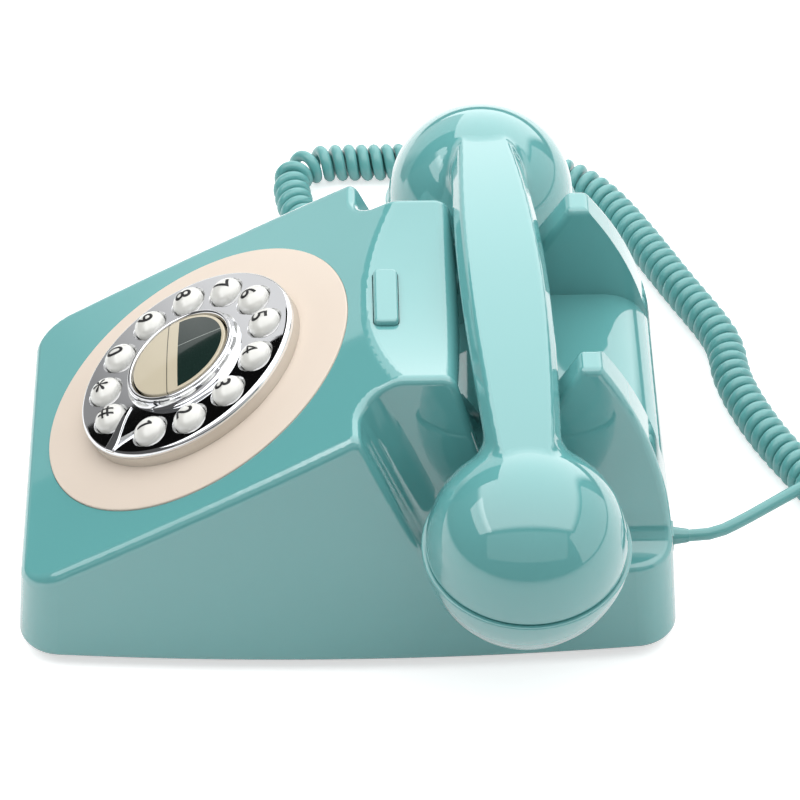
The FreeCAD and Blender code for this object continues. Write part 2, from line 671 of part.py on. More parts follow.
def redial_button():
    clip = REDIAL_STEM + 2
    edges = path_edges([(0, REDIAL_RIM + REDIAL_CROWN), (0, STEM_END), (REDIAL_STEM, STEM_END),
                        (REDIAL_STEM, FLANGE_UNDER), (clip, FLANGE_UNDER), (clip, FLANGE_TOP),
                        (REDIAL_STEM, FLANGE_TOP), (REDIAL_STEM, REDIAL_SKIRT), (REDIAL_RADIUS, REDIAL_SKIRT),
                        (REDIAL_RADIUS, REDIAL_RIM - 0.4), (REDIAL_RADIUS - 0.4, REDIAL_RIM)])
    edges.append(crown(REDIAL_RADIUS - 0.4, REDIAL_RIM, REDIAL_CROWN))
    return placed(turned(edges), DIAL_PLACE)


def key(index):
    wall = BEZEL_TOP + KEY_WALL_HEIGHT
    flange = KEY_RADIUS + KEY_FLANGE
    edges = path_edges([(0, wall + KEY_DOME), (0, STEM_END), (KEY_STEM, STEM_END), (KEY_STEM, FLANGE_UNDER),
                        (flange, FLANGE_UNDER), (flange, FLANGE_TOP), (KEY_RADIUS, FLANGE_TOP), (KEY_RADIUS, wall)])
    edges.append(crown(KEY_RADIUS, wall, KEY_DOME))
    return placed(turned(edges), DIAL_PLACE.multiply(Placement(key_place(index), Rotation())))


def finger_stop():
    root = BEZEL_RADIUS - BEZEL_LIP_WIDTH - 0.5
    heel = root - 2.4
    middle = (heel + STOP_TIP_CIRCLE) / 2
    tip = BEZEL_TOP + STOP_RISE
    under = [(heel, BEZEL_TOP), (middle, BEZEL_TOP + STOP_RISE * 0.66), (STOP_TIP_CIRCLE, tip)]
    over = [(STOP_TIP_CIRCLE, tip + STOP_SHEET * 0.8), (middle, BEZEL_TOP + STOP_RISE * 0.66 + STOP_SHEET),
            (root, BEZEL_TOP + STOP_SHEET * 0.8)]
    edges = [arc_edge(*under)] + path_edges([under[2], over[0]]) + [arc_edge(*over)]
    edges += path_edges([over[2], (root, BEZEL_TOP), under[0]])
    blade = Part.Face(Part.Wire(edges)).extrude(Vector(0, STOP_ROOT_WIDTH, 0))
    blade.translate(Vector(0, -STOP_ROOT_WIDTH / 2, 0))
    plan = [(root, -STOP_ROOT_WIDTH / 2), (root, STOP_ROOT_WIDTH / 2), (STOP_TIP_CIRCLE, STOP_TIP_WIDTH / 2),
            (STOP_TIP_CIRCLE, -STOP_TIP_WIDTH / 2)]
    wedge = polygon_face([Vector(x, y, 0) for x, y in plan]).extrude(Vector(0, 0, tip * 2))
    turn = Placement(Vector(), Rotation(Vector(0, 0, 1), STOP_ANGLE))
    return placed(solid_of(blade.common(wedge)), DIAL_PLACE.multiply(turn))


def stem_holes():
    stems = [Part.makeCylinder(KEY_STEM + STEM_FIT, FAR, key_place(i) - Vector(0, 0, FAR / 2))
             for i in range(len(KEY_NAMES))]
    return stems + [Part.makeCylinder(REDIAL_STEM + STEM_FIT, FAR, Vector(0, 0, -FAR / 2))]


def keypad_screw_places():
    circle = (CHASSIS_RADIUS + CHASSIS_BORE) / 2
    return [Vector(circle * cos(angle), circle * sin(angle), 0) for angle in (90, 210, 330)]


def keypad_screw_holes():
    """Holes that the three screws fill, from the board up into the case wall."""
    start = CHASSIS_UNDER - BOARD_THICKNESS
    return [Part.makeCylinder(SCREW_RADIUS, KEYPAD_SCREW, at + Vector(0, 0, start)) for at in keypad_screw_places()]


def keypad_chassis():
    under = CHASSIS_TOP - CHASSIS_PLATE
    chassis = turned_polygon([(0, CHASSIS_TOP), (0, under), (CHASSIS_BORE, under), (CHASSIS_BORE, CHASSIS_UNDER),
                              (CHASSIS_RADIUS, CHASSIS_UNDER), (CHASSIS_RADIUS, CHASSIS_TOP)])
    for hole in stem_holes() + keypad_screw_holes():
        chassis = chassis.cut(hole)
    return placed(chassis, DIAL_PLACE)


def keypad_mat():
    mat = Part.makeCylinder(CHASSIS_BORE - 0.3, MAT_THICKNESS, Vector(0, 0, CHASSIS_UNDER))
    pad_top = STEM_END - KEY_TRAVEL - 0.15
    for at in [key_place(i) for i in range(len(KEY_NAMES))] + [Vector()]:
        pad = Part.makeCone(KEY_STEM + 1.2, KEY_STEM, pad_top - CHASSIS_UNDER, at + Vector(0, 0, CHASSIS_UNDER))
        mat = mat.fuse(pad)
    return placed(solid_of(mat), DIAL_PLACE)


def keypad_board():
    bottom = CHASSIS_UNDER - BOARD_THICKNESS
    board = Part.makeCylinder(CHASSIS_RADIUS - 0.5, BOARD_THICKNESS, Vector(0, 0, bottom))
    board = board.fuse(box((-6, 8, bottom - 2), (6, 20, bottom)))
    board = board.fuse(box((-12, -26, bottom - 5), (12, -20, bottom)))
    for hole in keypad_screw_holes():
        board = board.cut(hole)
    return placed(solid_of(board), DIAL_PLACE)


def keypad_screws():
    head = CHASSIS_UNDER - BOARD_THICKNESS
    return Part.makeCompound([screw(KEYPAD_SCREW, head, DIAL_PLACE.multiply(Placement(at, Rotation())))
                              for at in keypad_screw_places()])


# Hook switch under the saddle

def hook_bar():
    bar = hook_block(0.0, -HOOK_DEPTH, HOOK_PROUD)
    top = SADDLE_HEIGHT + HOOK_PROUD
    bar = rounded(bar, HOOK_EDGE_ROUND, lambda p: abs(p.z - top) < 0.01)
    centre = hook_centre()
    foot = SADDLE_HEIGHT - HOOK_DEPTH
    reach = Vector(HOOK_LENGTH / 2 + 1.5, HOOK_WIDTH / 2 + 1.5, 0)
    flange = box(tuple(centre - reach - Vector(0, 0, HOOK_DEPTH + 1.5)),
                 tuple(centre + reach - Vector(0, 0, HOOK_GUIDE_DEPTH + 0.5)))
    pin = Part.makeCylinder(HOOK_PIN, HOOK_PIN_LENGTH, Vector(0, centre.y, foot - 1.5 - HOOK_PIN_LENGTH))
    return solid_of(bar.fuse(flange).fuse(pin))


SWITCH_TOP = SADDLE_HEIGHT - HOOK_DEPTH - 1.5 - HOOK_PIN_LENGTH - HOOK_TRAVEL - 0.8
SWITCH_BOTTOM = SWITCH_TOP - SWITCH_HEIGHT


def hook_bracket():
    """Strap from both ends of the guide down to a shelf for the switch."""
    y = hook_centre().y
    inner = HOOK_LENGTH / 2 + BUTTON_FIT + HOOK_GUIDE_WALL
    outer = inner + BRACKET_SHEET
    half = HOOK_WIDTH / 2
    strap = box((-outer, y - half, SWITCH_BOTTOM - BRACKET_SHEET),
                (outer, y + half, SADDLE_HEIGHT - HOOK_GUIDE_DEPTH + 6))
    return strap.cut(box((-inner, y - FAR, SWITCH_BOTTOM), (inner, y + FAR, FAR)))


def hook_switch():
    y = hook_centre().y
    half = Vector(SWITCH_LENGTH / 2, SWITCH_WIDTH / 2, 0)
    body = box((-half.x, y - half.y, SWITCH_BOTTOM), (half.x, y + half.y, SWITCH_TOP))
    button = Part.makeCylinder(HOOK_PIN - 0.5, 0.5, Vector(0, y, SWITCH_TOP))
    return solid_of(body.fuse(button))


# Ringer on the base plate

RINGER_LENGTH = HAMMER_LENGTH + COIL_LENGTH * 2 + FRAME_SHEET
RINGER_Y = MAIN_BOARD_Y - MAIN_BOARD_LENGTH / 2 - RINGER_GAP - RINGER_LENGTH
FRAME_TOP = BASE_TOP + FRAME_SHEET
GONG_RIM = FRAME_TOP + GONG_STAND
HAMMER_Z = GONG_RIM + 2.5
PIVOT_Y = RINGER_Y + HAMMER_LENGTH
COIL_Y = PIVOT_Y + COIL_LENGTH


def ringer_frame():
    plate = box((-GONG_SPACING / 2 - 6, RINGER_Y - 6, BASE_TOP), (GONG_SPACING / 2 + 6, RINGER_Y + 6, FRAME_TOP))
    spine = box((-COIL_RADIUS * 2, RINGER_Y - 6, BASE_TOP),
                (COIL_RADIUS * 2, COIL_Y + COIL_LENGTH + FRAME_SHEET, FRAME_TOP))
    yoke = box((-COIL_RADIUS * 2, COIL_Y + COIL_LENGTH, BASE_TOP),
               (COIL_RADIUS * 2, COIL_Y + COIL_LENGTH + FRAME_SHEET, HAMMER_Z + COIL_RADIUS))
    frame = plate.fuse(spine).fuse(yoke)
    for side in (-1, 1):
        post = Vector(side * GONG_SPACING / 2, RINGER_Y, BASE_TOP)
        frame = frame.fuse(Part.makeCylinder(POST_RADIUS, GONG_RIM + GONG_HEIGHT - GONG_SHEET - BASE_TOP, post))
    collar = rod(POST_RADIUS, (0, PIVOT_Y, BASE_TOP), (0, PIVOT_Y, HAMMER_Z - 3.1))
    pin = rod(HAMMER_PIN, (0, PIVOT_Y, BASE_TOP), (0, PIVOT_Y, HAMMER_Z + 4))
    return solid_of(frame.fuse(collar).fuse(pin))


def ringer_gongs():
    flat = 5.0
    top = GONG_RIM + GONG_HEIGHT
    inside = GONG_RADIUS - GONG_SHEET
    edges = path_edges([(flat, top), (0, top), (0, top - GONG_SHEET), (flat, top - GONG_SHEET)])
    edges.append(arc_edge((flat, top - GONG_SHEET), (inside * 0.79, GONG_RIM + GONG_HEIGHT * 0.62), (inside, GONG_RIM)))
    edges += path_edges([(inside, GONG_RIM), (GONG_RADIUS, GONG_RIM)])
    edges.append(arc_edge((GONG_RADIUS, GONG_RIM), (GONG_RADIUS * 0.79, GONG_RIM + GONG_HEIGHT * 0.70), (flat, top)))
    gong = turned(edges).fuse(Part.makeCylinder(POST_RADIUS, SCREW_HEAD_HEIGHT, Vector(0, 0, top)))
    gong = solid_of(gong)
    return Part.makeCompound([placed(gong, Placement(Vector(side * GONG_SPACING / 2, RINGER_Y, 0), Rotation()))
                              for side in (-1, 1)])


def ringer_hammer():
    hub = rod(POST_RADIUS + 0.5, (0, PIVOT_Y, HAMMER_Z - 3), (0, PIVOT_Y, HAMMER_Z + 3))
    arm = rod(HAMMER_ROD, (0, PIVOT_Y, HAMMER_Z), (0, RINGER_Y, HAMMER_Z))
    ball = Part.makeSphere(HAMMER_BALL, Vector(0, RINGER_Y, HAMMER_Z))
    neck = box((-2, PIVOT_Y, HAMMER_Z - 2), (2, PIVOT_Y + 12, HAMMER_Z + 2))
    armature = box((-COIL_RADIUS * 1.6, PIVOT_Y + 12, HAMMER_Z - 4), (COIL_RADIUS * 1.6, PIVOT_Y + 15, HAMMER_Z + 4))
    bore = rod(HAMMER_PIN + 0.05, (0, PIVOT_Y, HAMMER_Z - 9), (0, PIVOT_Y, HAMMER_Z + 9))
    return solid_of(hub.fuse(arm).fuse(ball).fuse(neck).fuse(armature).cut(bore))


def ringer_coils():
    """Two wound bobbins whose ends stand on the yoke."""
    cheek = 1.2
    ends = [(COIL_RADIUS, 0), (COIL_RADIUS, cheek), (COIL_RADIUS - 1.4, cheek), (COIL_RADIUS - 1.4, COIL_LENGTH - cheek),
            (COIL_RADIUS, COIL_LENGTH - cheek), (COIL_RADIUS, COIL_LENGTH), (0, COIL_LENGTH), (0, 0)]
    bobbin = turned_polygon(ends)
    along_y = Rotation(Vector(1, 0, 0), -90)
    return Part.makeCompound([placed(bobbin, Placement(Vector(side * COIL_RADIUS, COIL_Y, HAMMER_Z), along_y))
                              for side in (-1.02, 1.02)])


# Circuit board, ballast and sockets

def main_board():
    bottom = BASE_TOP + MAIN_BOARD_STAND
    top = bottom + BOARD_THICKNESS
    half = Vector(MAIN_BOARD_WIDTH / 2, MAIN_BOARD_LENGTH / 2, 0)
    board = box((-half.x, MAIN_BOARD_Y - half.y, bottom), (half.x, MAIN_BOARD_Y + half.y, top))
    board = board.fuse(box((-32, MAIN_BOARD_Y - 12, top), (-16, MAIN_BOARD_Y + 4, top + 11)))
    board = board.fuse(box((2, MAIN_BOARD_Y - 8, top), (16, MAIN_BOARD_Y + 0, top + 2.5)))
    board = board.fuse(box((-10, MAIN_BOARD_Y + 14, top), (10, MAIN_BOARD_Y + 20, top + 6)))
    for x, y in ((24, -12), (24, 2), (32, -5)):
        board = board.fuse(Part.makeCylinder(3.2, 9.0, Vector(x, MAIN_BOARD_Y + y, top)))
    return solid_of(board)


def ballast_plate():
    half = Vector(BALLAST_WIDTH / 2, BALLAST_LENGTH / 2, 0)
    low = Vector(0, MAIN_BOARD_Y, BASE_TOP) - half
    return box(tuple(low), tuple(low + half * 2 + Vector(0, 0, BALLAST_THICKNESS)))


def socket(side):
    middle = socket_centre(side)
    half = Vector(SOCKET_WIDTH / 2, 0, SOCKET_HEIGHT / 2)
    body = box(tuple(middle - half - Vector(0, SOCKET_DEPTH, 0)), tuple(middle + half))
    mouth = Vector(SOCKET_MOUTH_WIDTH / 2, 0, SOCKET_MOUTH_HEIGHT / 2)
    return body.cut(box(tuple(middle - mouth - Vector(0, SOCKET_MOUTH_DEPTH, 0)), tuple(middle + mouth)))


def plug_end():
    """Middle of the outer face of the plug's sleeve."""
    middle = socket_centre(1)
    return Vector(middle.x, rear_wall(middle.z) + PLUG_PROUD + SLEEVE_LENGTH, middle.z)


def cord_plug():
    middle = socket_centre(1)
    half = Vector(SOCKET_MOUTH_WIDTH / 2 - PLUG_FIT, 0, SOCKET_MOUTH_HEIGHT / 2)
    outer = rear_wall(middle.z) + PLUG_PROUD
    body = box(tuple(middle - half - Vector(0, SOCKET_MOUTH_DEPTH, 0)),
               (middle.x + half.x, outer, middle.z + half.z - PLUG_FIT))
    end = plug_end()
    sleeve = Part.makeCone(SLEEVE_RADIUS, WIRE_DIAMETER / 2 + 0.2, end.y - outer, Vector(end.x, outer, end.z),
                           Vector(0, 1, 0))
    return solid_of(body.fuse(sleeve))


# Handset, drawn over the origin and then turned a little on its cradle

HALF_SPAN = BALL_SPACING / 2
HANDSET_PLACE = Placement(Vector(0, CRADLE_Y, 0), Rotation(Vector(0, 0, 1), HANDSET_YAW))
CAVITY = BALL_RADIUS - BALL_WALL


def ball_centre(side):
    return Vector(side * HALF_SPAN, 0, BALL_HEIGHT)


def cap_place(side):
    """Local Z runs down the axis of a cap, from the middle of its ball."""
    return Placement(ball_centre(side), Rotation(Vector(0, 1, 0), 180 + side * CAP_TILT))


def rounded_wire(corners, radii):
    """Closed outline with each corner rounded to its own radius."""
    arcs = []
    for i, corner in enumerate(corners):
        back = (corners[i - 1] - corner).normalize()
        ahead = (corners[(i + 1) % len(corners)] - corner).normalize()
        half = back.getAngle(ahead) / 2
        trim = radii[i] / math.tan(half)
        centre = corner + (back + ahead).normalize() * (radii[i] / math.sin(half))
        middle = centre + (corner - centre).normalize() * radii[i]
        arcs.append((corner + back * trim, middle, corner + ahead * trim))
    edges = []
    for arc, following in zip(arcs, arcs[1:] + arcs[:1]):
        edges.append(Part.Arc(*arc).toShape())
        edges.append(Part.makeLine(arc[2], following[0]))
    return Part.Wire(edges)


def handle_section(x):
    share = (x / HALF_SPAN) ** 2
    half = (HANDLE_WIDTH - (HANDLE_WIDTH - HANDLE_END_WIDTH) * share) / 2
    top = HANDLE_TOP - HANDLE_ARCH * share
    right = [(half - HANDLE_BEVEL_WIDTH, top), (half, top - HANDLE_BEVEL_HEIGHT), (half * HANDLE_UNDER_SHARE, handle_underside(x))]
    left = [(-y, z) for y, z in reversed(right)]
    return rounded_wire([Vector(x, y, z) for y, z in right + left], HANDLE_ROUNDS + HANDLE_ROUNDS[::-1])


def grommet_axis(distance):
    return ball_centre(-1) + Vector(-distance, 0, 0)


def handset_shell():
    body = Part.makeLoft([handle_section(HALF_SPAN * k) for k in (-0.95, -0.68, -0.34, 0, 0.34, 0.68, 0.95)],
                         True, False)
    for side in (-1, 1):
        body = body.fuse(Part.makeSphere(BALL_RADIUS, ball_centre(side)))
    body = body.Solids[0]

    def at_ball(p):
        return abs(p.x) < HALF_SPAN - 1 and min(abs((p - ball_centre(s)).Length - BALL_RADIUS) for s in (-1, 1)) < 0.01
    body = rounded(body, HANDLE_BLEND, at_ball)
    for side in (-1, 1):
        below = box((-CAP_RADIUS * 1.3, -CAP_RADIUS * 1.3, 0), (CAP_RADIUS * 1.3, CAP_RADIUS * 1.3, CAP_RADIUS * 2))
        body = body.cut(placed(below, cap_place(side)))
        body = body.cut(Part.makeSphere(CAVITY, ball_centre(side)))
    duct = HANDLE_TOP - HANDLE_THICKNESS * 0.65
    body = body.cut(rod(WIRE_DUCT, (-HALF_SPAN, 0, duct), (HALF_SPAN, 0, duct)))
    body = body.cut(rod(GROMMET_TIP, tuple(grommet_axis(CAVITY / 2)), tuple(grommet_axis(BALL_RADIUS * 2))))
    return placed(solid_of(body), HANDSET_PLACE)


def on_cap(depth, radius=CAP_RADIUS):
    return (math.sqrt(radius ** 2 - depth ** 2), depth)


def handset_cap(side):
    """Screw-on cap: a bowl with a flat pierced face and a spigot inside the ball."""
    spigot = CAVITY - CAP_FIT - 0.35
    rim = BALL_RADIUS - 0.9
    inner = CAP_RADIUS - CAP_WALL
    low = CAP_DEPTH - CAP_EDGE_ROUND
    face = on_cap(CAP_DEPTH)[0] - 1.2
    edges = path_edges([(0, CAP_DEPTH), (0, CAP_DEPTH - CAP_WALL), on_cap(CAP_DEPTH - CAP_WALL, inner)])
    floor = CAP_DEPTH - CAP_WALL
    edges.append(arc_edge(on_cap(floor, inner), on_cap(floor * 0.6, inner), on_cap(3.0, inner)))
    edges += path_edges([on_cap(3.0, inner), (spigot - 2, 3.0), (spigot - 2, -CAP_SPIGOT), (spigot, -CAP_SPIGOT),
                         (spigot, 0), (rim, 0), (rim, CAP_GROOVE), (CAP_RADIUS - 0.6, CAP_GROOVE)])
    edges.append(arc_edge((CAP_RADIUS - 0.6, CAP_GROOVE), (CAP_RADIUS - 0.18, CAP_GROOVE + 0.18), on_cap(1.5)))
    edges.append(arc_edge(on_cap(1.5), on_cap(low * 0.6), on_cap(low)))
    bend = (on_cap(low)[0] * 0.55 + face * 0.45 + 0.5, low + CAP_EDGE_ROUND * 0.66)
    edges.append(arc_edge(on_cap(low), bend, (face, CAP_DEPTH)))
    edges += path_edges([(face, CAP_DEPTH), (0, CAP_DEPTH)])
    cap = turned(edges)
    for circle, count in SOUND_RINGS:
        for index in range(count):
            angle = 360 * index / count
            at = Vector(circle * cos(angle), circle * sin(angle), CAP_DEPTH - CAP_WALL * 2)
            cap = cap.cut(Part.makeCylinder(SOUND_HOLE, CAP_WALL * 3, at))
    return placed(cap, HANDSET_PLACE.multiply(cap_place(side)))


def capsule(side, radius):
    floor = CAP_DEPTH - CAP_WALL
    body = Part.makeCylinder(radius, CAPSULE_DEPTH, Vector(0, 0, floor - CAPSULE_DEPTH))
    neck = Part.makeCylinder(radius * 0.6, CAPSULE_DEPTH * 0.4, Vector(0, 0, floor - CAPSULE_DEPTH * 1.4))
    return placed(solid_of(body.fuse(neck)), HANDSET_PLACE.multiply(cap_place(side)))


def grommet_end(beyond):
    return HANDSET_PLACE.multVec(grommet_axis(BALL_RADIUS + GROMMET_LENGTH + beyond))


def cord_grommet():
    out = Vector(-1, 0, 0)
    inner = rod(GROMMET_TIP, tuple(grommet_axis(CAVITY - 0.2)), tuple(grommet_axis(BALL_RADIUS)))
    sleeve = Part.makeCone(GROMMET_RADIUS, GROMMET_TIP, GROMMET_LENGTH + 1, grommet_axis(BALL_RADIUS - 1), out)
    sleeve = sleeve.cut(Part.makeSphere(BALL_RADIUS, ball_centre(-1)))
    return placed(solid_of(inner.fuse(sleeve)), HANDSET_PLACE)


# Cord

def on_route(x, y, z):
    return Vector(x, y + REAR_Y - ROUTE_REAR, z)


def route_edges(points):
    """Straight runs joined by tangent arcs, and the least radius of the arcs."""
    edges = []
    least = FAR
    start = points[0]
    for before, corner, after in zip(points, points[1:], points[2:]):
        back = before - corner
        ahead = after - corner
        trim = 0.45 * min(back.Length, ahead.Length)
        back.normalize()
        ahead.normalize()
        half = back.getAngle(ahead) / 2
        radius = trim * math.tan(half)
        centre = corner + (back + ahead).normalize() * (radius / math.sin(half))
        middle = centre + (corner - centre).normalize() * radius
        edges.append(Part.makeLine(start, corner + back * trim))
        edges.append(Part.Arc(corner + back * trim, middle, corner + ahead * trim).toShape())
        start = corner + ahead * trim
        least = min(least, radius)
    edges.append(Part.makeLine(start, points[-1]))
    return edges, least


def tube(edges):
    wire = Part.Wire(edges)
    start = edges[0].valueAt(edges[0].FirstParameter)
    heading = edges[0].tangentAt(edges[0].FirstParameter)
    ring = Part.Wire([Part.makeCircle(WIRE_DIAMETER / 2, start, heading)])
    return wire.makePipeShell([ring], True, False)


def biarc(p0, t0, p1, t1):
    """Two arcs that leave p0 along t0 and reach p1 along t1."""
    v = p1 - p0
    t = t0 + t1
    a = 2 * (1 - t0.dot(t1))
    b = 2 * v.dot(t)
    reach = (-b + math.sqrt(b * b + 4 * a * v.dot(v))) / (2 * a)
    joint = (p0 + t0 * reach + p1 - t1 * reach) * 0.5

    def arc(start, corner, end):
        back = (start - corner).normalize()
        ahead = (end - corner).normalize()
        half = back.getAngle(ahead) / 2
        radius = (start - corner).Length * math.tan(half)
        centre = corner + (back + ahead).normalize() * (radius / math.sin(half))
        return Part.Arc(start, centre + (corner - centre).normalize() * radius, end).toShape()
    return [arc(p0, p0 + t0 * reach, joint), arc(joint, p1 - t1 * reach, p1)]


class Curls:
    """The wound length of the cord, as one run of arcs round the route's middle line."""

    def __init__(self):
        self.radius = (CURL_DIAMETER - WIRE_DIAMETER) / 2
        height = CURL_DIAMETER / 2 + TABLE_GAP
        self.axis, self.least_bend = route_edges([on_route(x, y, height) for x, y in CURL_ROUTE])
        self.length = sum(edge.Length for edge in self.axis)
        self.stations = self.wind()
        self.edges = self.join()

    def on_axis(self, s):
        """Point, heading and bend (left is positive) of the middle line at a distance along it."""
        for edge in self.axis:
            if s <= edge.Length or edge is self.axis[-1]:
                break
            s -= edge.Length
        at = edge.getParameterByLength(min(s, edge.Length))
        heading = edge.tangentAt(at)
        bend = 0.0
        if hasattr(edge.Curve, "Radius"):
            inward = edge.Curve.Center - edge.valueAt(at)
            left = Vector(-heading.y, heading.x, 0)
            bend = math.copysign(1 / edge.Curve.Radius, inward.dot(left))
        return edge.valueAt(at), heading, bend

    def pitch(self, bend):
        """Wider in a bend, so that the curls stay apart on its inside."""
        return (WIRE_DIAMETER + CURL_GAP) / (1 - self.radius * abs(bend))

    def wind(self):
        """Half-turn stations: distance along the middle line and angle round it."""
        step = 0.25
        angle = math.pi
        stations = [(0.0, angle)]
        s = 0.0
        while s < self.length:
            advance = 2 * math.pi * step / self.pitch(self.on_axis(s)[2])
            due = stations[-1][1] + math.pi
            if angle + advance >= due:
                stations.append((s + step * (due - angle) / advance, due))
            angle += advance
            s += step
        quarter = self.pitch(0.0) / 4
        while math.cos(stations[-1][1]) > 0 or stations[-1][0] + quarter > self.length:
            stations.pop()
        s, angle = stations[-1]
        return stations + [(s + quarter, angle + math.pi / 2)]

    def at(self, s, angle):
        """Point and heading of the wire."""
        centre, heading, bend = self.on_axis(s)
        left = Vector(-heading.y, heading.x, 0)
        up = Vector(0, 0, 1)
        point = centre + left * (self.radius * math.cos(angle)) + up * (self.radius * math.sin(angle))
        rate = self.pitch(bend) / (2 * math.pi) * (1 - bend * self.radius * math.cos(angle))
        turn = up * (self.radius * math.cos(angle)) - left * (self.radius * math.sin(angle))
        return point, (heading * rate + turn).normalize()

    def join(self):
        path = [self.at(s, angle) for s, angle in self.stations]
        edges = []
        for (p0, t0), (p1, t1) in zip(path, path[1:]):
            edges += biarc(p0, t0, p1, t1)
        self.start = path[0][0] - path[0][1] * WIRE_DIAMETER
        self.start_heading = path[0][1]
        self.end = path[-1][0] + path[-1][1] * WIRE_DIAMETER
        self.end_heading = path[-1][1]
        lead = Part.makeLine(self.start, path[0][0])
        trail = Part.makeLine(path[-1][0], self.end)
        return [lead] + edges + [trail]

    def points(self, spacing=0.8):
        """Points all along the wire's middle line."""
        found = []
        for edge in self.edges:
            found += edge.discretize(max(2, int(edge.Length / spacing)))[:-1]
        return found


def least_gap(points, others, skip):
    """Least space between two runs of wire; skip leaves out neighbours on one run."""
    least = FAR
    for i, a in enumerate(points):
        for b in others[i + skip:] if skip else others:
            if abs(a.x - b.x) < CURL_DIAMETER and abs(a.y - b.y) < CURL_DIAMETER:
                least = min(least, a.distanceToPoint(b))
    return least - WIRE_DIAMETER


def cord():
    """The three nodes of the handset cord, with its measures printed."""
    curls = Curls()
    lead = curls.start - curls.start_heading * TAIL_LEAD
    drop = BALL_HEIGHT / ROUTE_BALL_HEIGHT
    handset_points = [grommet_end(0.0), grommet_end(GLAND_LEAD)]
    handset_points += [on_route(x, y, z * drop) for x, y, z in HANDSET_TAIL_ROUTE] + [lead, curls.start]
    handset_edges, handset_bend = route_edges(handset_points)
    trail = curls.end + curls.end_heading * TAIL_LEAD
    case_points = [plug_end(), plug_end() + Vector(0, TAIL_START, 0)]
    case_points += [on_route(*p) for p in CASE_TAIL_ROUTE] + [trail, curls.end]
    case_edges, case_bend = route_edges(case_points)
    runs = {"handset_cord_tail": handset_edges, "handset_cord_curls": curls.edges, "case_cord_tail": case_edges}
    print("curls", len(curls.stations) / 2, "least bend", curls.least_bend, handset_bend, case_bend)
    wire = curls.points()
    print("curl gap", least_gap(wire, wire, 20))
    crossing = [p for edge in case_edges for p in edge.discretize(8)][:-40]
    print("crossing gap", least_gap(crossing, wire, 0))
    shapes = {}
    for name, edges in runs.items():
        shapes[name] = tube(edges)
        swept = math.pi * WIRE_DIAMETER ** 2 / 4 * sum(edge.Length for edge in edges)
        print(name, "volume over section by length", shapes[name].Volume / swept)
    return shapes


def all_parts():
    parts = {
        "upper_case": upper_case(), "base_plate": base_plate(), "rubber_feet": rubber_feet(),
        "case_screws": case_screws(), "dial_surround": dial_surround(), "dial_bezel": dial_bezel(),
        "centre_ring": centre_ring(), "redial_button": redial_button(), "finger_stop": finger_stop(),
        "keypad_chassis": keypad_chassis(), "keypad_mat": keypad_mat(), "keypad_board": keypad_board(),
        "keypad_screws": keypad_screws(), "hook_bar": hook_bar(), "hook_bracket": hook_bracket(),
        "hook_switch": hook_switch(), "ringer_frame": ringer_frame(), "ringer_gongs": ringer_gongs(),
        "ringer_hammer": ringer_hammer(), "ringer_coils": ringer_coils(), "main_board": main_board(),
        "ballast_plate": ballast_plate(), "cord_socket": socket(1), "line_socket": socket(-1),
        "cord_plug": cord_plug(), "handset_shell": handset_shell(), "earpiece_cap": handset_cap(1),
        "mouthpiece_cap": handset_cap(-1), "receiver_capsule": capsule(1, RECEIVER_RADIUS),
        "microphone_capsule": capsule(-1, MICROPHONE_RADIUS), "cord_grommet": cord_grommet(),
    }
    for index, name in enumerate(KEY_NAMES):
        parts["key_" + name] = key(index)
    parts.update(cord())
    return parts


def main():
    os.makedirs("parts", exist_ok=True)
    for name, shape in all_parts().items():
        if not shape.isValid() or shape.Volume <= 0:
            print("unsound solid:", name)
        shape.exportStep(os.path.join("parts", name + ".step"))


if __name__ == "__main__":
    main()
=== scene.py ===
"""Picture model of a desk telephone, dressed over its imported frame.

Every length is in metres unless a name or note says millimetres, in the frame's own axes:
+X to the user's right, -Y to the front and +Z up, with the origin on the table under the
middle of the case.
"""

from __future__ import annotations

import json
import logging
import math
from dataclasses import dataclass, field, replace
from enum import Enum
from typing import Callable, Sequence

import bpy
from mathutils import Matrix, Vector

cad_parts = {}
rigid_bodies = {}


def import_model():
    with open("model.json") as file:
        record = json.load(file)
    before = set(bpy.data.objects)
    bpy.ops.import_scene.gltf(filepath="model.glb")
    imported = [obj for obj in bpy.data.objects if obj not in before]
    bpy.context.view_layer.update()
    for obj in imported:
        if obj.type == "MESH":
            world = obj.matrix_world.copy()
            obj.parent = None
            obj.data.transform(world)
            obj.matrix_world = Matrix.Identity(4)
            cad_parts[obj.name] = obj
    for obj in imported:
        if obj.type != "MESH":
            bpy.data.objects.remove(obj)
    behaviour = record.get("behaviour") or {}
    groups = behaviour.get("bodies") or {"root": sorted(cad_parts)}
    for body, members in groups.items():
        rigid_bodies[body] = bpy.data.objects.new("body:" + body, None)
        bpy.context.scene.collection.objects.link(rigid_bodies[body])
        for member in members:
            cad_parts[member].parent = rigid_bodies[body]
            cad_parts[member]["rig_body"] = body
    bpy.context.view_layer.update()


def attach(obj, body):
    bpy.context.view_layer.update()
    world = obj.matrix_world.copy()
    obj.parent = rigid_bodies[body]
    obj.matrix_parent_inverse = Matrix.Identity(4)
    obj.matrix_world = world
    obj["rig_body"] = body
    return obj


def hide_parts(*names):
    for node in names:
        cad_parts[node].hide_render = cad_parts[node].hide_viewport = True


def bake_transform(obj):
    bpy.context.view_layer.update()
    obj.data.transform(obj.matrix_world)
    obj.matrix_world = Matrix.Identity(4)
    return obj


log = logging.getLogger("telephone")

Colour = tuple[float, float, float]
Point = tuple[float, float, float]
Pair = tuple[float, float]
Outline = Sequence[Pair]
Piece = bpy.types.Object
Tree = bpy.types.NodeTree
Socket = bpy.types.NodeSocket

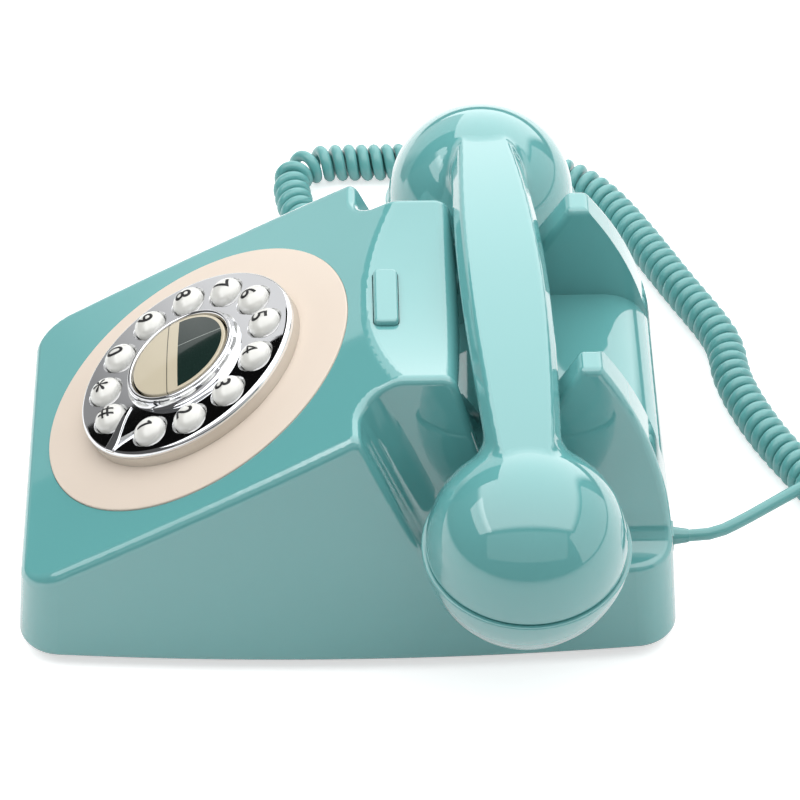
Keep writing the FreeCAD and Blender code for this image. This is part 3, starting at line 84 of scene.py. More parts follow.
MM = 0.001
MERGE_GAP = 0.002 * MM
NORMAL_WEIGHT = 80
COAT_ROUGHNESS = 0.03
COAT_IOR = 1.7
BUMP_STRENGTH = 0.25
GLOSS_SPAN = (0.3, 0.7)
DRIFT_SPAN = (0.35, 0.75)
PATCH_DETAIL = 3.0
GRAIN_DETAIL = 2.0
SHARP_EDGE = 35.0
WHITE = (1.0, 1.0, 1.0, 1.0)
NO_LIGHT = (0.0, 0.0, 0.0, 1.0)


class Body(str, Enum):
    """Rigid bodies of the frame that pieces ride on."""

    CASE = "case"
    HANDSET = "handset"
    REDIAL = "redial"


class Shading(float, Enum):
    """Angle between two faces, in degrees, up to which they are shaded as one surface."""

    SOFT = 40.0
    CRISP = 28.0


class Facets(int, Enum):
    """Flats round a turned piece."""

    PLATE = 144
    RING = 128
    KEY = 64
    SLEEVE = 48


class Easing(str, Enum):
    """Ways from one end of a range to the other."""

    EVEN = "LINEAR"
    GENTLE = "SMOOTHSTEP"


class Sum(str, Enum):
    """What a Math node works out of its values."""

    ABOVE = "GREATER_THAN"
    BELOW = "LESS_THAN"
    NEAR = "COMPARE"
    LARGEST = "MAXIMUM"
    PRODUCT = "MULTIPLY"
    PRODUCT_AND_MORE = "MULTIPLY_ADD"


def deselect() -> None:
    """Leave nothing selected."""
    for obj in bpy.context.view_layer.objects:
        obj.select_set(False)


def activate(obj: Piece) -> Piece:
    """Make one object the only selected and the active one.

    Args:
        obj: The object that operators are to act on.

    Returns:
        The same object.
    """
    deselect()
    obj.select_set(True)
    bpy.context.view_layer.objects.active = obj
    return obj


def added(name: str, data: bpy.types.ID) -> Piece:
    """Add an object to the scene.

    Args:
        name: Name of the object.
        data: Its mesh, curve, camera or light.

    Returns:
        The new object.
    """
    obj = bpy.data.objects.new(name, data)
    bpy.context.scene.collection.objects.link(obj)
    return obj


def edit_all() -> None:
    """Go into edit mode on the active object, with its whole mesh selected."""
    bpy.ops.object.mode_set(mode="EDIT")
    bpy.ops.mesh.select_all(action="SELECT")


def edit_done() -> None:
    """Go back to object mode."""
    bpy.ops.object.mode_set(mode="OBJECT")


def apply_modifier(obj: Piece, modifier: bpy.types.Modifier) -> None:
    """Make a modifier's result the piece's own mesh.

    Args:
        obj: The piece.
        modifier: One of its modifiers.
    """
    activate(obj)
    bpy.ops.object.modifier_apply(modifier=modifier.name)


def smooth(obj: Piece, shading: Shading = Shading.SOFT) -> Piece:
    """Shade a piece smooth up to an angle, with normals weighted to its large faces.

    Args:
        obj: The piece.
        shading: How far two faces may turn and still be shaded as one.

    Returns:
        The same piece.
    """
    activate(obj)
    bpy.ops.object.shade_smooth_by_angle(angle=math.radians(shading.value))
    weighted = obj.modifiers.new("weighted", "WEIGHTED_NORMAL")
    weighted.keep_sharp = True
    weighted.weight = NORMAL_WEIGHT
    apply_modifier(obj, weighted)
    return obj


def merge_points(obj: Piece, outward: bool) -> None:
    """Join points that lie on each other.

    Args:
        obj: The piece.
        outward: Whether the faces are also turned to point outwards.
    """
    activate(obj)
    edit_all()
    bpy.ops.mesh.remove_doubles(threshold=MERGE_GAP)
    if outward:
        bpy.ops.mesh.normals_make_consistent(inside=False)
    edit_done()


def merged_copy(node: str, name: str) -> Piece:
    """Copy a frame node's mesh, join its loose triangles and shade it.

    Args:
        node: Name of the frame node that the copy stands for.
        name: Name of the new piece.

    Returns:
        The new piece, which replaces the node and rides on its body.
    """
    source = bpy.data.objects[node]
    piece = added(name, source.data.copy())
    piece.data.materials.clear()
    activate(piece)
    if piece.data.has_custom_normals:
        bpy.ops.mesh.customdata_custom_splitnormals_clear()
    merge_points(piece, outward=False)
    smooth(piece)
    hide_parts(node)
    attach(piece, source["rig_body"])
    log.info("%s: copy of %s", name, node)
    return piece


def drawn(name: str, points: Sequence[Vector]) -> Piece:
    """Draw a line of edges through points, from a plane that is merged to its middle.

    Args:
        name: Name of the new piece.
        points: The points, in order.

    Returns:
        The line, in edit mode with all of it selected.
    """
    deselect()
    bpy.ops.mesh.primitive_plane_add(size=MM)
    piece = bpy.context.active_object
    piece.name = name
    edit_all()
    bpy.ops.mesh.merge(type="CENTER")
    bpy.ops.transform.translate(value=points[0])
    for before, after in zip(points, points[1:]):
        bpy.ops.mesh.extrude_region_move(TRANSFORM_OT_translate={"value": after - before})
    bpy.ops.mesh.select_all(action="SELECT")
    return piece


def spun(name: str, outline: Outline, steps: Facets) -> Piece:
    """Turn a closed outline round the Z axis, as on a lathe.

    Args:
        name: Name of the new piece.
        outline: Radius and height of each point, in millimetres.
        steps: Flats round the axis.

    Returns:
        The turned piece, standing on the origin.
    """
    piece = drawn(name, [Vector((radius * MM, 0.0, height * MM)) for radius, height in (*outline, outline[0])])
    bpy.ops.mesh.spin(steps=steps.value, angle=math.tau, center=(0, 0, 0), axis=(0, 0, 1))
    edit_done()
    merge_points(piece, outward=True)
    return piece


def softened(obj: Piece, width: float, segments: int = 3) -> Piece:
    """Round a piece's sharp edges.

    Args:
        obj: The piece.
        width: Width of the rounding in millimetres.
        segments: Steps in the rounding.

    Returns:
        The same piece.
    """
    bevel = obj.modifiers.new("rounding", "BEVEL")
    bevel.width = width * MM
    bevel.segments = segments
    bevel.limit_method = "ANGLE"
    bevel.angle_limit = math.radians(SHARP_EDGE)
    bevel.harden_normals = False
    apply_modifier(obj, bevel)
    return obj


def settle(obj: Piece, place: Matrix) -> Piece:
    """Put a piece in its place and leave its object at the origin.

    Args:
        obj: The piece, modelled round the origin.
        place: Where it goes.

    Returns:
        The same piece.
    """
    obj.matrix_world = place
    activate(obj)
    bpy.ops.object.transform_apply(location=True, rotation=True, scale=True)
    return obj


def copied(obj: Piece, name: str) -> Piece:
    """Copy a piece with a mesh of its own.

    Args:
        obj: The piece.
        name: Name of the copy.

    Returns:
        The copy.
    """
    return added(name, obj.data.copy())


def joined(pieces: Sequence[Piece], name: str) -> Piece:
    """Join pieces into one object.

    Args:
        pieces: The pieces.
        name: Name of the joined one.

    Returns:
        The joined piece.
    """
    activate(pieces[0])
    for piece in pieces:
        piece.select_set(True)
    bpy.ops.object.join()
    pieces[0].name = name
    return pieces[0]


def arc(centre: Pair, radius: float, first: float, last: float, count: int) -> list[Pair]:
    """Points on an arc of an outline.

    Args:
        centre: Radius and height of the arc's middle.
        radius: The arc's own radius.
        first: Angle of the first point in degrees, from straight out towards up.
        last: Angle of the last point.
        count: Steps in the arc.

    Returns:
        The points, both ends among them.
    """
    angles = [math.radians(first + (last - first) * k / count) for k in range(count + 1)]
    return [(centre[0] + radius * math.cos(a), centre[1] + radius * math.sin(a)) for a in angles]


def dome(radius: float, rim: float, rise: float, count: int) -> list[Pair]:
    """Outline of a domed top, from its pole to its rim.

    Args:
        radius: Radius at the rim.
        rim: Height of the rim.
        rise: Height of the pole over the rim.
        count: Steps from pole to rim.

    Returns:
        The points, the pole first.
    """
    ball = (radius ** 2 + rise ** 2) / (2 * rise)
    low = math.degrees(math.asin((ball - rise) / ball))
    points = arc((0.0, rim + rise - ball), ball, 90.0, low, count)
    return [(0.0, rim + rise)] + points[1:]


def worked_out(tree: Tree, operation: Sum, *values: Socket | float) -> Socket:
    """Work out a value of a material with a Math node.

    Args:
        tree: Node tree of the material.
        operation: What is worked out.
        values: Sockets or plain numbers, in the order of the node's inputs.

    Returns:
        The socket that gives the result.
    """
    made = tree.nodes.new("ShaderNodeMath")
    made.operation = operation.value
    for socket, value in zip(made.inputs, values):
        if isinstance(value, Socket):
            tree.links.new(value, socket)
        else:
            socket.default_value = value
    return made.outputs["Value"]


def ranged(tree: Tree, value: Socket, taken: Pair, given: Pair = (0.0, 1.0),
           easing: Easing = Easing.EVEN) -> Socket:
    """Map a value of a material from one range to another.

    Args:
        tree: Node tree of the material.
        value: The value.
        taken: The range that it comes from.
        given: The range that it goes to.
        easing: The way between the ends.

    Returns:
        The socket that gives the result.
    """
    made = tree.nodes.new("ShaderNodeMapRange")
    made.interpolation_type = easing.value
    made.inputs["From Min"].default_value, made.inputs["From Max"].default_value = taken
    made.inputs["To Min"].default_value, made.inputs["To Max"].default_value = given
    tree.links.new(value, made.inputs["Value"])
    return made.outputs["Result"]


@dataclass(frozen=True)
class Finish:
    """A moulded, plated or painted surface.

    Attributes:
        name: Name of the material.
        slot: Slot of the record that the finish belongs to; not used.
        colour: Main colour, linear.
        drift: Second colour that the main one drifts to in soft patches.
        gloss: Least and most roughness over the surface.
        metal: Share of metallic reflection.
        coat: Weight of the clear top layer.
        patch: Soft patches of colour and gloss per metre.
        grain: Grains of the fine relief per metre.
        relief: Depth of the fine relief in millimetres.
    """

    name: str
    slot: str
    colour: Colour
    drift: Colour
    gloss: Pair
    metal: float = 0.0
    coat: float = 0.0
    patch: float = 18.0
    grain: float = 2500.0
    relief: float = 0.004

    def material(self) -> bpy.types.Material:
        """Build the node material, or give the one that is already built.

        Returns:
            The material.
        """
        found = bpy.data.materials.get(self.name)
        if found:
            return found
        made = bpy.data.materials.new(self.name)
        made.use_nodes = True
        made.diffuse_color = (*self.colour, 1.0)
        tree = made.node_tree
        shader = tree.nodes["Principled BSDF"]
        shader.inputs["Metallic"].default_value = self.metal
        shader.inputs["Coat Weight"].default_value = self.coat
        shader.inputs["Coat Roughness"].default_value = COAT_ROUGHNESS
        shader.inputs["Coat IOR"].default_value = COAT_IOR
        place = tree.nodes.new("ShaderNodeTexCoord").outputs["Object"]
        patches = self.noise(tree, place, self.patch, PATCH_DETAIL)
        tree.links.new(self.colours(tree, place, patches), shader.inputs["Base Color"])
        tree.links.new(ranged(tree, patches, GLOSS_SPAN, self.gloss), shader.inputs["Roughness"])
        bump = tree.nodes.new("ShaderNodeBump")
        bump.inputs["Strength"].default_value = BUMP_STRENGTH
        bump.inputs["Distance"].default_value = self.relief * MM
        tree.links.new(self.noise(tree, place, self.grain, GRAIN_DETAIL), bump.inputs["Height"])
        tree.links.new(bump.outputs["Normal"], shader.inputs["Normal"])
        return made

    def colours(self, tree: Tree, place: Socket, patches: Socket) -> Socket:
        """Colour over the surface: the main one, drifting to the second in soft patches.

        Args:
            tree: Node tree of the material.
            place: Object coordinates.
            patches: Noise of the soft patches.

        Returns:
            The socket that gives the colour.
        """
        blend = tree.nodes.new("ShaderNodeValToRGB")
        for stop, position, colour in zip(blend.color_ramp.elements, DRIFT_SPAN, (self.colour, self.drift)):
            stop.position = position
            stop.color = (*colour, 1.0)
        tree.links.new(patches, blend.inputs["Fac"])
        return blend.outputs["Color"]

    @staticmethod
    def noise(tree: Tree, place: Socket, scale: float, detail: float) -> Socket:
        """Add a noise texture.

        Args:
            tree: Node tree of the material.
            place: Object coordinates.
            scale: Features per metre.
            detail: Octaves of finer features.

        Returns:
            The socket that gives the noise.
        """
        made = tree.nodes.new("ShaderNodeTexNoise")
        made.inputs["Scale"].default_value = scale
        made.inputs["Detail"].default_value = detail
        tree.links.new(place, made.inputs["Vector"])
        return made.outputs["Fac"]

    def dress(self, obj: Piece) -> Piece:
        """Give a new piece this finish.

        Args:
            obj: The piece.

        Returns:
            The same piece.
        """
        obj.data.materials.clear()
        obj.data.materials.append(self.material())
        return obj

    def coat_node(self, node: str) -> None:
        """Give a frame node that keeps its own mesh this finish.

        Args:
            node: Name of the node.
        """
        obj = bpy.data.objects[node]
        if not obj.material_slots:
            obj.data.materials.append(self.material())
        for slot in obj.material_slots:
            slot.material = self.material()


@dataclass(frozen=True)
class CardFinish(Finish):
    """The printed card under the redial button's clear face.

    Attributes:
        centre: Middle of the dial.
        tilt: Slope of the dial face in degrees.
        dark: Colour of the upper half.
        line: Colour of the light line on the upper half.
        ink: Colour of the dark rule on the lower half.
        rule: Height of the dark rule over the middle and half its width, in millimetres.
        stroke: Place of the light line across the upper half and half its width, in millimetres.
        reach: Radius of the upper half's dark field, in millimetres.
    """

    centre: Point = (0.0, 0.0, 0.0)
    tilt: float = 0.0
    dark: Colour = (0.010, 0.024, 0.020)
    line: Colour = (0.24, 0.27, 0.25)
    ink: Colour = (0.10, 0.09, 0.07)
    rule: Pair = (-4.0, 0.18)
    stroke: Pair = (-3.4, 0.16)
    reach: float = 16.2

    def colours(self, tree: Tree, place: Socket, patches: Socket) -> Socket:
        """Colour of the card: cream below, dark above, with a thin line on each.

        Args:
            tree: Node tree of the material.
            place: Object coordinates.
            patches: Noise of the soft patches.

        Returns:
            The socket that gives the colour.
        """
        cream = Finish.colours(self, tree, place, patches)
        turn = tree.nodes.new("ShaderNodeMapping")
        turn.vector_type = "TEXTURE"
        turn.inputs["Location"].default_value = self.centre
        turn.inputs["Rotation"].default_value = (math.radians(self.tilt), 0.0, 0.0)
        tree.links.new(place, turn.inputs["Vector"])
        split = tree.nodes.new("ShaderNodeSeparateXYZ")
        tree.links.new(turn.outputs["Vector"], split.inputs["Vector"])
        across, along = split.outputs["X"], split.outputs["Y"]
        flat = tree.nodes.new("ShaderNodeCombineXYZ")
        tree.links.new(across, flat.inputs["X"])
        tree.links.new(along, flat.inputs["Y"])
        radius = tree.nodes.new("ShaderNodeVectorMath")
        radius.operation = "LENGTH"
        tree.links.new(flat.outputs["Vector"], radius.inputs[0])
        above = worked_out(tree, Sum.ABOVE, along, 0.0)
        within = worked_out(tree, Sum.BELOW, radius.outputs["Value"], self.reach * MM)
        rule = worked_out(tree, Sum.NEAR, along, self.rule[0] * MM, self.rule[1] * MM)
        stroke = worked_out(tree, Sum.NEAR, across, self.stroke[0] * MM, self.stroke[1] * MM)
        lower = self.mixed(tree, rule, cream, self.ink)
        upper = self.mixed(tree, stroke, self.dark, self.line)
        return self.mixed(tree, worked_out(tree, Sum.PRODUCT, above, within), lower, upper)

    @staticmethod
    def mixed(tree: Tree, share: Socket, under: Socket | Colour, over: Socket | Colour) -> Socket:
        """Lay a colour over another where a share is one.

        Args:
            tree: Node tree of the material.
            share: Where the colour lies.
            under: Colour below it.
            over: The colour.

        Returns:
            The socket that gives the mixed colour.
        """
        mix = tree.nodes.new("ShaderNodeMix")
        mix.data_type = "RGBA"
        tree.links.new(share, mix.inputs["Factor"])
        for name, colour in (("A", under), ("B", over)):
            if isinstance(colour, Socket):
                tree.links.new(colour, mix.inputs[name])
            else:
                mix.inputs[name].default_value = (*colour, 1.0)
        return mix.outputs["Result"]


TEAL = Finish("glossy_teal", "teal_plastic", (0.128, 0.385, 0.385), (0.132, 0.395, 0.395), (0.04, 0.08), coat=1.0,
              relief=0.0008)
CREAM = Finish("satin_cream", "cream_plastic", (0.675, 0.580, 0.490), (0.690, 0.597, 0.507), (0.34, 0.44))
IVORY = Finish("glossy_ivory", "key_plastic", (0.70, 0.70, 0.665), (0.715, 0.715, 0.68), (0.10, 0.16), coat=0.8,
               patch=120.0)
CHROME = Finish("chrome_plate", "chrome_trim", (0.86, 0.87, 0.89), (0.83, 0.84, 0.86), (0.015, 0.035), metal=1.0,
                relief=0.0005)
SATIN = Finish("satin_chrome", "chrome_trim", (0.66, 0.645, 0.61), (0.70, 0.685, 0.65), (0.28, 0.36), metal=1.0,
               relief=0.002)
INK = Finish("black_ink", "key_plastic", (0.006, 0.006, 0.007), (0.009, 0.009, 0.010), (0.35, 0.5), patch=400.0)
BLACK = Finish("black_plastic", "base_plastic", (0.010, 0.010, 0.011), (0.014, 0.014, 0.015), (0.45, 0.6),
               relief=0.02)
RUBBER = Finish("black_rubber", "foot_rubber", (0.008, 0.008, 0.008), (0.012, 0.012, 0.012), (0.7, 0.85),
                relief=0.03)
SILICONE = Finish("grey_silicone", "mat_rubber", (0.14, 0.145, 0.145), (0.16, 0.165, 0.165), (0.6, 0.7))
JACKET = Finish("teal_sheath", "cord_jacket", (0.120, 0.365, 0.360), (0.127, 0.382, 0.377), (0.26, 0.36), coat=0.4,
                patch=60.0, relief=0.006)
STEEL = Finish("zinc_steel", "screw_steel", (0.42, 0.43, 0.44), (0.48, 0.48, 0.48), (0.25, 0.4), metal=1.0)
IRON = Finish("weight_iron", "ballast_iron", (0.10, 0.10, 0.11), (0.14, 0.13, 0.13), (0.5, 0.7), metal=1.0,
              relief=0.04)
BRASS = Finish("polished_brass", "gong_brass", (0.62, 0.43, 0.18), (0.66, 0.48, 0.22), (0.15, 0.25), metal=1.0)
COPPER = Finish("lacquered_copper", "coil_winding", (0.36, 0.13, 0.06), (0.42, 0.17, 0.08), (0.3, 0.42),
                relief=0.02)
BOARD = Finish("green_laminate", "board_laminate", (0.02, 0.11, 0.05), (0.03, 0.13, 0.06), (0.3, 0.4))
PLUG = Finish("teal_moulding", "plug_plastic", (0.120, 0.365, 0.360), (0.127, 0.382, 0.377), (0.14, 0.22), coat=0.5)
CARD = CardFinish("redial_card", "cream_plastic", (0.56, 0.50, 0.375), (0.575, 0.515, 0.39), (0.08, 0.12), coat=0.6)


@dataclass(frozen=True)
class Lamp:
    """A large soft light with a flat face.

    Attributes:
        name: Name of the light.
        place: Middle of its face.
        turn: Turn of its face from looking straight down, in degrees.
        size: Sides of its face.
        radiance: How bright its face looks.
    """

    name: str
    place: Point
    turn: Point
    size: Pair
    radiance: float

    def hang(self) -> None:
        """Add the light to the scene."""
        data = bpy.data.lights.new(self.name, "AREA")
        data.shape = "RECTANGLE"
        data.size, data.size_y = self.size
        data.energy = self.radiance * math.pi * self.size[0] * self.size[1]
        light = added(self.name, data)
        light.location = self.place
        light.rotation_euler = [math.radians(angle) for angle in self.turn]


def make_glow(obj: Piece, name: str, strength: Callable[[Tree, bpy.types.Node], Socket]) -> None:
    """Give a piece of the studio a black surface with a white light of its own.

    Args:
        obj: The piece.
        name: Name of the material.
        strength: Adds the nodes for the light's strength, from the node tree and the split object coordinates.
    """
    made = bpy.data.materials.new(name)
    made.use_nodes = True
    tree = made.node_tree
    shader = tree.nodes["Principled BSDF"]
    shader.inputs["Base Color"].default_value = NO_LIGHT
    shader.inputs["Specular IOR Level"].default_value = 0.0
    shader.inputs["Emission Color"].default_value = WHITE
    split = tree.nodes.new("ShaderNodeSeparateXYZ")
    tree.links.new(tree.nodes.new("ShaderNodeTexCoord").outputs["Object"], split.inputs["Vector"])
    tree.links.new(strength(tree, split), shader.inputs["Emission Strength"])
    obj.data.materials.append(made)
    obj.visible_camera = False


@dataclass(frozen=True)
class Card:
    """A card that only the chrome and the gloss mirror.

    Attributes:
        name: Name of the card.
        away: The way it reaches from its ridge.
        depth: How far it reaches.
        shades: Brightness at its front and rear ends.
        ridge: Middle of the edge that the chrome face mirrors across its middle.
        along: The way that edge runs.
        length: Length of that edge.
        fade: Between which shares of that edge the brightness changes.
    """

    name: str
    away: Point
    depth: float
    shades: Pair
    ridge: Point = (-0.300, -0.2645, 0.1993)
    along: Point = (0.0, 0.8695, 0.494)
    length: float = 0.44
    fade: Pair = (-0.12, 0.05)

    def stand(self) -> None:
        """Add the card to the scene."""
        deselect()
        bpy.ops.mesh.primitive_plane_add(size=1.0)
        card = bpy.context.active_object
        card.name = self.name
        along, away = Vector(self.along), Vector(self.away)
        axes = Matrix((along * self.length, away * self.depth, along.cross(away))).transposed().to_4x4()
        card.matrix_world = Matrix.Translation(Vector(self.ridge) + away * self.depth / 2) @ axes
        card.visible_diffuse = False
        card.visible_shadow = False
        make_glow(card, self.name + "_paper", self.strength)

    def strength(self, tree: Tree, split: bpy.types.Node) -> Socket:
        """Strength of the card's light, from its front end to its rear end.

        Args:
            tree: Node tree of the card's material.
            split: Node that splits the object coordinates.

        Returns:
            The socket that gives the strength.
        """
        return ranged(tree, split.outputs["X"], self.fade, self.shades)


@dataclass
class Studio:
    """Camera, floor and soft light.

    Attributes:
        camera: Where the camera stands.
        target: The point in the middle of the picture.
        lens: Focal length in millimetres.
        sensor: Width of the sensor in millimetres.
        sight: How far the camera sees.
        walls: Strength of the dim light from all round.
        floor: Side of the floor.
        paper: Shade of the floor's paper.
        paper_roughness: Roughness of that paper.
        paper_shine: Strength of its faint reflections.
        glow: Light of the floor itself, as on a lit table.
        lift: Light of the floor that only the camera sees.
        canopy: How bright the face of the large soft light over the table looks.
        profile: The canopy's section from its far foot to its near edge, across and up.
        front_fade: The canopy's front edge, and where its light is full.
        rear_fade: The canopy's rear edge, and where its light is full.
        near_fade: The canopy's near edge, and where its light is full.
        lamps: The lights beside the canopy.
        cards: The cards that the chrome mirrors.
    """

    camera: Point = (1.0395, -0.0039, 0.9296)
    target: Point = (0.0, 0.01789, 0.0510)
    lens: float = 187.81
    sensor: float = 36.0
    sight: float = 50.0
    walls: float = 0.10
    floor: float = 12.0
    paper: Colour = (0.75, 0.75, 0.75)
    paper_roughness: float = 0.7
    paper_shine: float = 0.2
    glow: float = 0.15
    lift: float = 0.45
    canopy: float = 2.03
    profile: Outline = (
        (-1.85, 0.30), (-1.81, 0.62), (-1.71, 0.90), (-1.54, 1.10), (-1.30, 1.21), (-1.0, 1.24), (0.86, 1.24),
    )
    front_fade: Pair = (-1.52, -1.12)
    rear_fade: Pair = (1.85, 1.35)
    near_fade: Pair = (0.86, 0.66)
    lamps: Sequence[Lamp] = (
        Lamp("right_light", (-0.1, 1.9, 0.72), (-82.0, 0.0, 0.0), (2.6, 1.3), 0.9),
        Lamp("front_light", (1.75, -0.1, 1.35), (0.0, 52.0, 0.0), (1.3, 4.4), 0.38),
        Lamp("edge_light", (0.15, -1.55, 1.22), (0.0, 0.0, 0.0), (1.3, 0.85), 1.7),
    )
    cards: Sequence[Card] = (
        Card("white_card", (0.0, 0.494, -0.8695), 0.18, (0.30, 0.80)),
        Card("black_card", (0.0, -0.494, 0.8695), 0.30, (0.004, 0.004)),
    )

    def build(self) -> None:
        """Make the camera, the floor, the surroundings, the lights and the cards for the chrome."""
        bpy.context.scene.view_settings.view_transform = "Standard"
        self.make_camera()
        self.make_floor()
        self.make_world()
        self.make_canopy()
        for lamp in self.lamps:
            lamp.hang()
        for card in self.cards:
            card.stand()

    def make_camera(self) -> None:
        """Stand the camera at the photograph's viewing angle."""
        data = bpy.data.cameras.new("camera")
        data.lens = self.lens
        data.sensor_width = self.sensor
        data.clip_end = self.sight
        camera = added("camera", data)
        camera.location = self.camera
        camera.rotation_euler = (Vector(self.target) - Vector(self.camera)).to_track_quat("-Z", "Y").to_euler()
        bpy.context.scene.camera = camera

    def make_floor(self) -> None:
        """Lay a wide white floor that glows faintly, as a lit table does."""
        deselect()
        bpy.ops.mesh.primitive_plane_add(size=self.floor)
        floor = bpy.context.active_object
        floor.name = "floor"
        paper = bpy.data.materials.new("floor_paper")
        paper.use_nodes = True
        tree = paper.node_tree
        shader = tree.nodes["Principled BSDF"]
        shader.inputs["Base Color"].default_value = (*self.paper, 1.0)
        shader.inputs["Roughness"].default_value = self.paper_roughness
        shader.inputs["Specular IOR Level"].default_value = self.paper_shine
        shader.inputs["Emission Color"].default_value = WHITE
        seen = tree.nodes.new("ShaderNodeLightPath").outputs["Is Camera Ray"]
        glow = worked_out(tree, Sum.PRODUCT_AND_MORE, seen, self.lift, self.glow)
        tree.links.new(glow, shader.inputs["Emission Strength"])
        floor.data.materials.append(paper)

    def make_world(self) -> None:
        """Surround the studio with dim walls that the camera sees as white."""
        world = bpy.data.worlds.new("studio")
        world.use_nodes = True
        tree = world.node_tree
        background = tree.nodes["Background"]
        background.inputs["Color"].default_value = WHITE
        seen = tree.nodes.new("ShaderNodeLightPath").outputs["Is Camera Ray"]
        tree.links.new(worked_out(tree, Sum.LARGEST, seen, self.walls), background.inputs["Strength"])
        bpy.context.scene.world = world

    def make_canopy(self) -> None:
        """Hang one large soft light over the table and down its far side, fading out at its edges."""
        front, rear = self.front_fade[0], self.rear_fade[0]
        canopy = drawn("canopy_light", [Vector((across, front, up)) for across, up in self.profile])
        bpy.ops.mesh.extrude_region_move(TRANSFORM_OT_translate={"value": (0.0, rear - front, 0.0)})
        edit_done()
        make_glow(canopy, "canopy_silk", self.canopy_strength)

    def canopy_strength(self, tree: Tree, split: bpy.types.Node) -> Socket:
        """Strength of the canopy's light, which falls off smoothly at three of its edges.

        Args:
            tree: Node tree of the canopy's material.
            split: Node that splits the object coordinates.

        Returns:
            The socket that gives the strength.
        """
        level: Socket | float = self.canopy
        for axis, fade in (("Y", self.front_fade), ("Y", self.rear_fade), ("X", self.near_fade)):
            rise = ranged(tree, split.outputs[axis], fade, easing=Easing.GENTLE)
            level = worked_out(tree, Sum.PRODUCT, rise, level)
        return level


@dataclass
class Route:
    """A smooth line led by given points.

    Attributes:
        points: Control points of the line, in metres.
    """

    points: Sequence[Vector]

    def curve(self, name: str, smoothness: int = 12) -> Piece:
        """Make the line as a curve object.

        Args:
            name: Name of the object.
            smoothness: Steps between two control points.

        Returns:
            A curve of one open spline.
        """
        data = bpy.data.curves.new(name, "CURVE")
        data.dimensions = "3D"
        spline = data.splines.new("NURBS")
        spline.points.add(len(self.points) - 1)
        for control, point in zip(spline.points, self.points):
            control.co = (*point, 1.0)
        spline.order_u = 3
        spline.use_endpoint_u = True
        spline.resolution_u = smoothness
        return added(name, data)

    def sampled(self) -> list[Vector]:
        """Read the smooth line back as closely spaced points.

        Returns:
            The points, in order.
        """
        obj = self.curve("route")
        bpy.context.view_layer.update()
        mesh = bpy.data.meshes.new_from_object(obj.evaluated_get(bpy.context.evaluated_depsgraph_get()))
        line = [vertex.co.copy() for vertex in mesh.vertices]
        bpy.data.objects.remove(obj)
        bpy.data.meshes.remove(mesh)
        return line


def line_length(line: Sequence[Vector]) -> float:
    """Length of a line of points."""
    return sum((b - a).length for a, b in zip(line, line[1:]))


@dataclass
class Winding:
    """The curls' wire, wound round their middle line.

    Attributes:
        line: Middle line of the curls.
        wire: Diameter of the wire.
        radius: From the middle line to the middle of the wire.
        gap: Space between neighbouring curls.
        steps: Points of the wire in each curl.
        part_turn: Share of a curl that the wire has over its whole number of curls.
        reach: Points of the line before and after one that its bend is measured over.
        points: The wire's points, from the line's first end.
        first_heading: The way the wire runs at its first point.
        last_heading: The way the wire runs at its last point.
    """

    line: Sequence[Vector]
    wire: float
    radius: float
    gap: float
    steps: int = 16
    part_turn: float = 0.25
    reach: tuple[int, int] = (6, 5)
    points: list[Vector] = field(default_factory=list)
    first_heading: Vector = field(default_factory=Vector)
    last_heading: Vector = field(default_factory=Vector)

    def __post_init__(self) -> None:
        """Wind the wire a whole number of curls and a quarter."""
        turns = self.turns_at_points()
        curls = math.floor(turns[-1] - self.part_turn) + self.part_turn
        scale = curls / turns[-1]
        control = self.radius / math.cos(math.pi / self.steps)
        count = round(curls * self.steps)
        i = 0
        for k in range(count + 1):
            turn = curls * k / count
            while i < len(turns) - 2 and turns[i + 1] * scale < turn:
                i += 1
            share = (turn / scale - turns[i]) / (turns[i + 1] - turns[i])
            centre = self.line[i].lerp(self.line[i + 1], share)
            heading = self.heading(i).lerp(self.heading(i + 1), share).normalized()
            left = Vector((-heading.y, heading.x, 0.0))
            phase = math.pi + turn * math.tau
            up = Vector((0.0, 0.0, 1.0))
            self.points.append(centre + (left * math.cos(phase) + up * math.sin(phase)) * control)
            pitch = (self.line[i + 1] - self.line[i]).length / ((turns[i + 1] - turns[i]) * scale)
            way = heading * (pitch / math.tau) + (up * math.cos(phase) - left * math.sin(phase)) * self.radius
            if k == 0:
                self.first_heading = way.normalized()
            self.last_heading = way.normalized()

    def heading(self, i: int) -> Vector:
        """The way the middle line runs at one of its points.

        Args:
            i: Which point.

        Returns:
            The way, of length one.
        """
        before = self.line[max(i - 1, 0)]
        after = self.line[min(i + 1, len(self.line) - 1)]
        return (after - before).normalized()

    def turns_at_points(self) -> list[float]:
        """Curls wound up to each point of the middle line, fewer in a bend.

        Returns:
            The number of curls at each point.
        """
        turns = [0.0]
        for i in range(1, len(self.line)):
            step = self.line[i] - self.line[i - 1]
            lag, lead = max(i - self.reach[0], 0), min(i + self.reach[1], len(self.line) - 1)
            bend = self.heading(lag).angle(self.heading(lead)) / line_length(self.line[lag:lead + 1])
            pitch = (self.wire + self.gap) / (1.0 - self.radius * bend)
            turns.append(turns[-1] + step.length / pitch)
        return turns


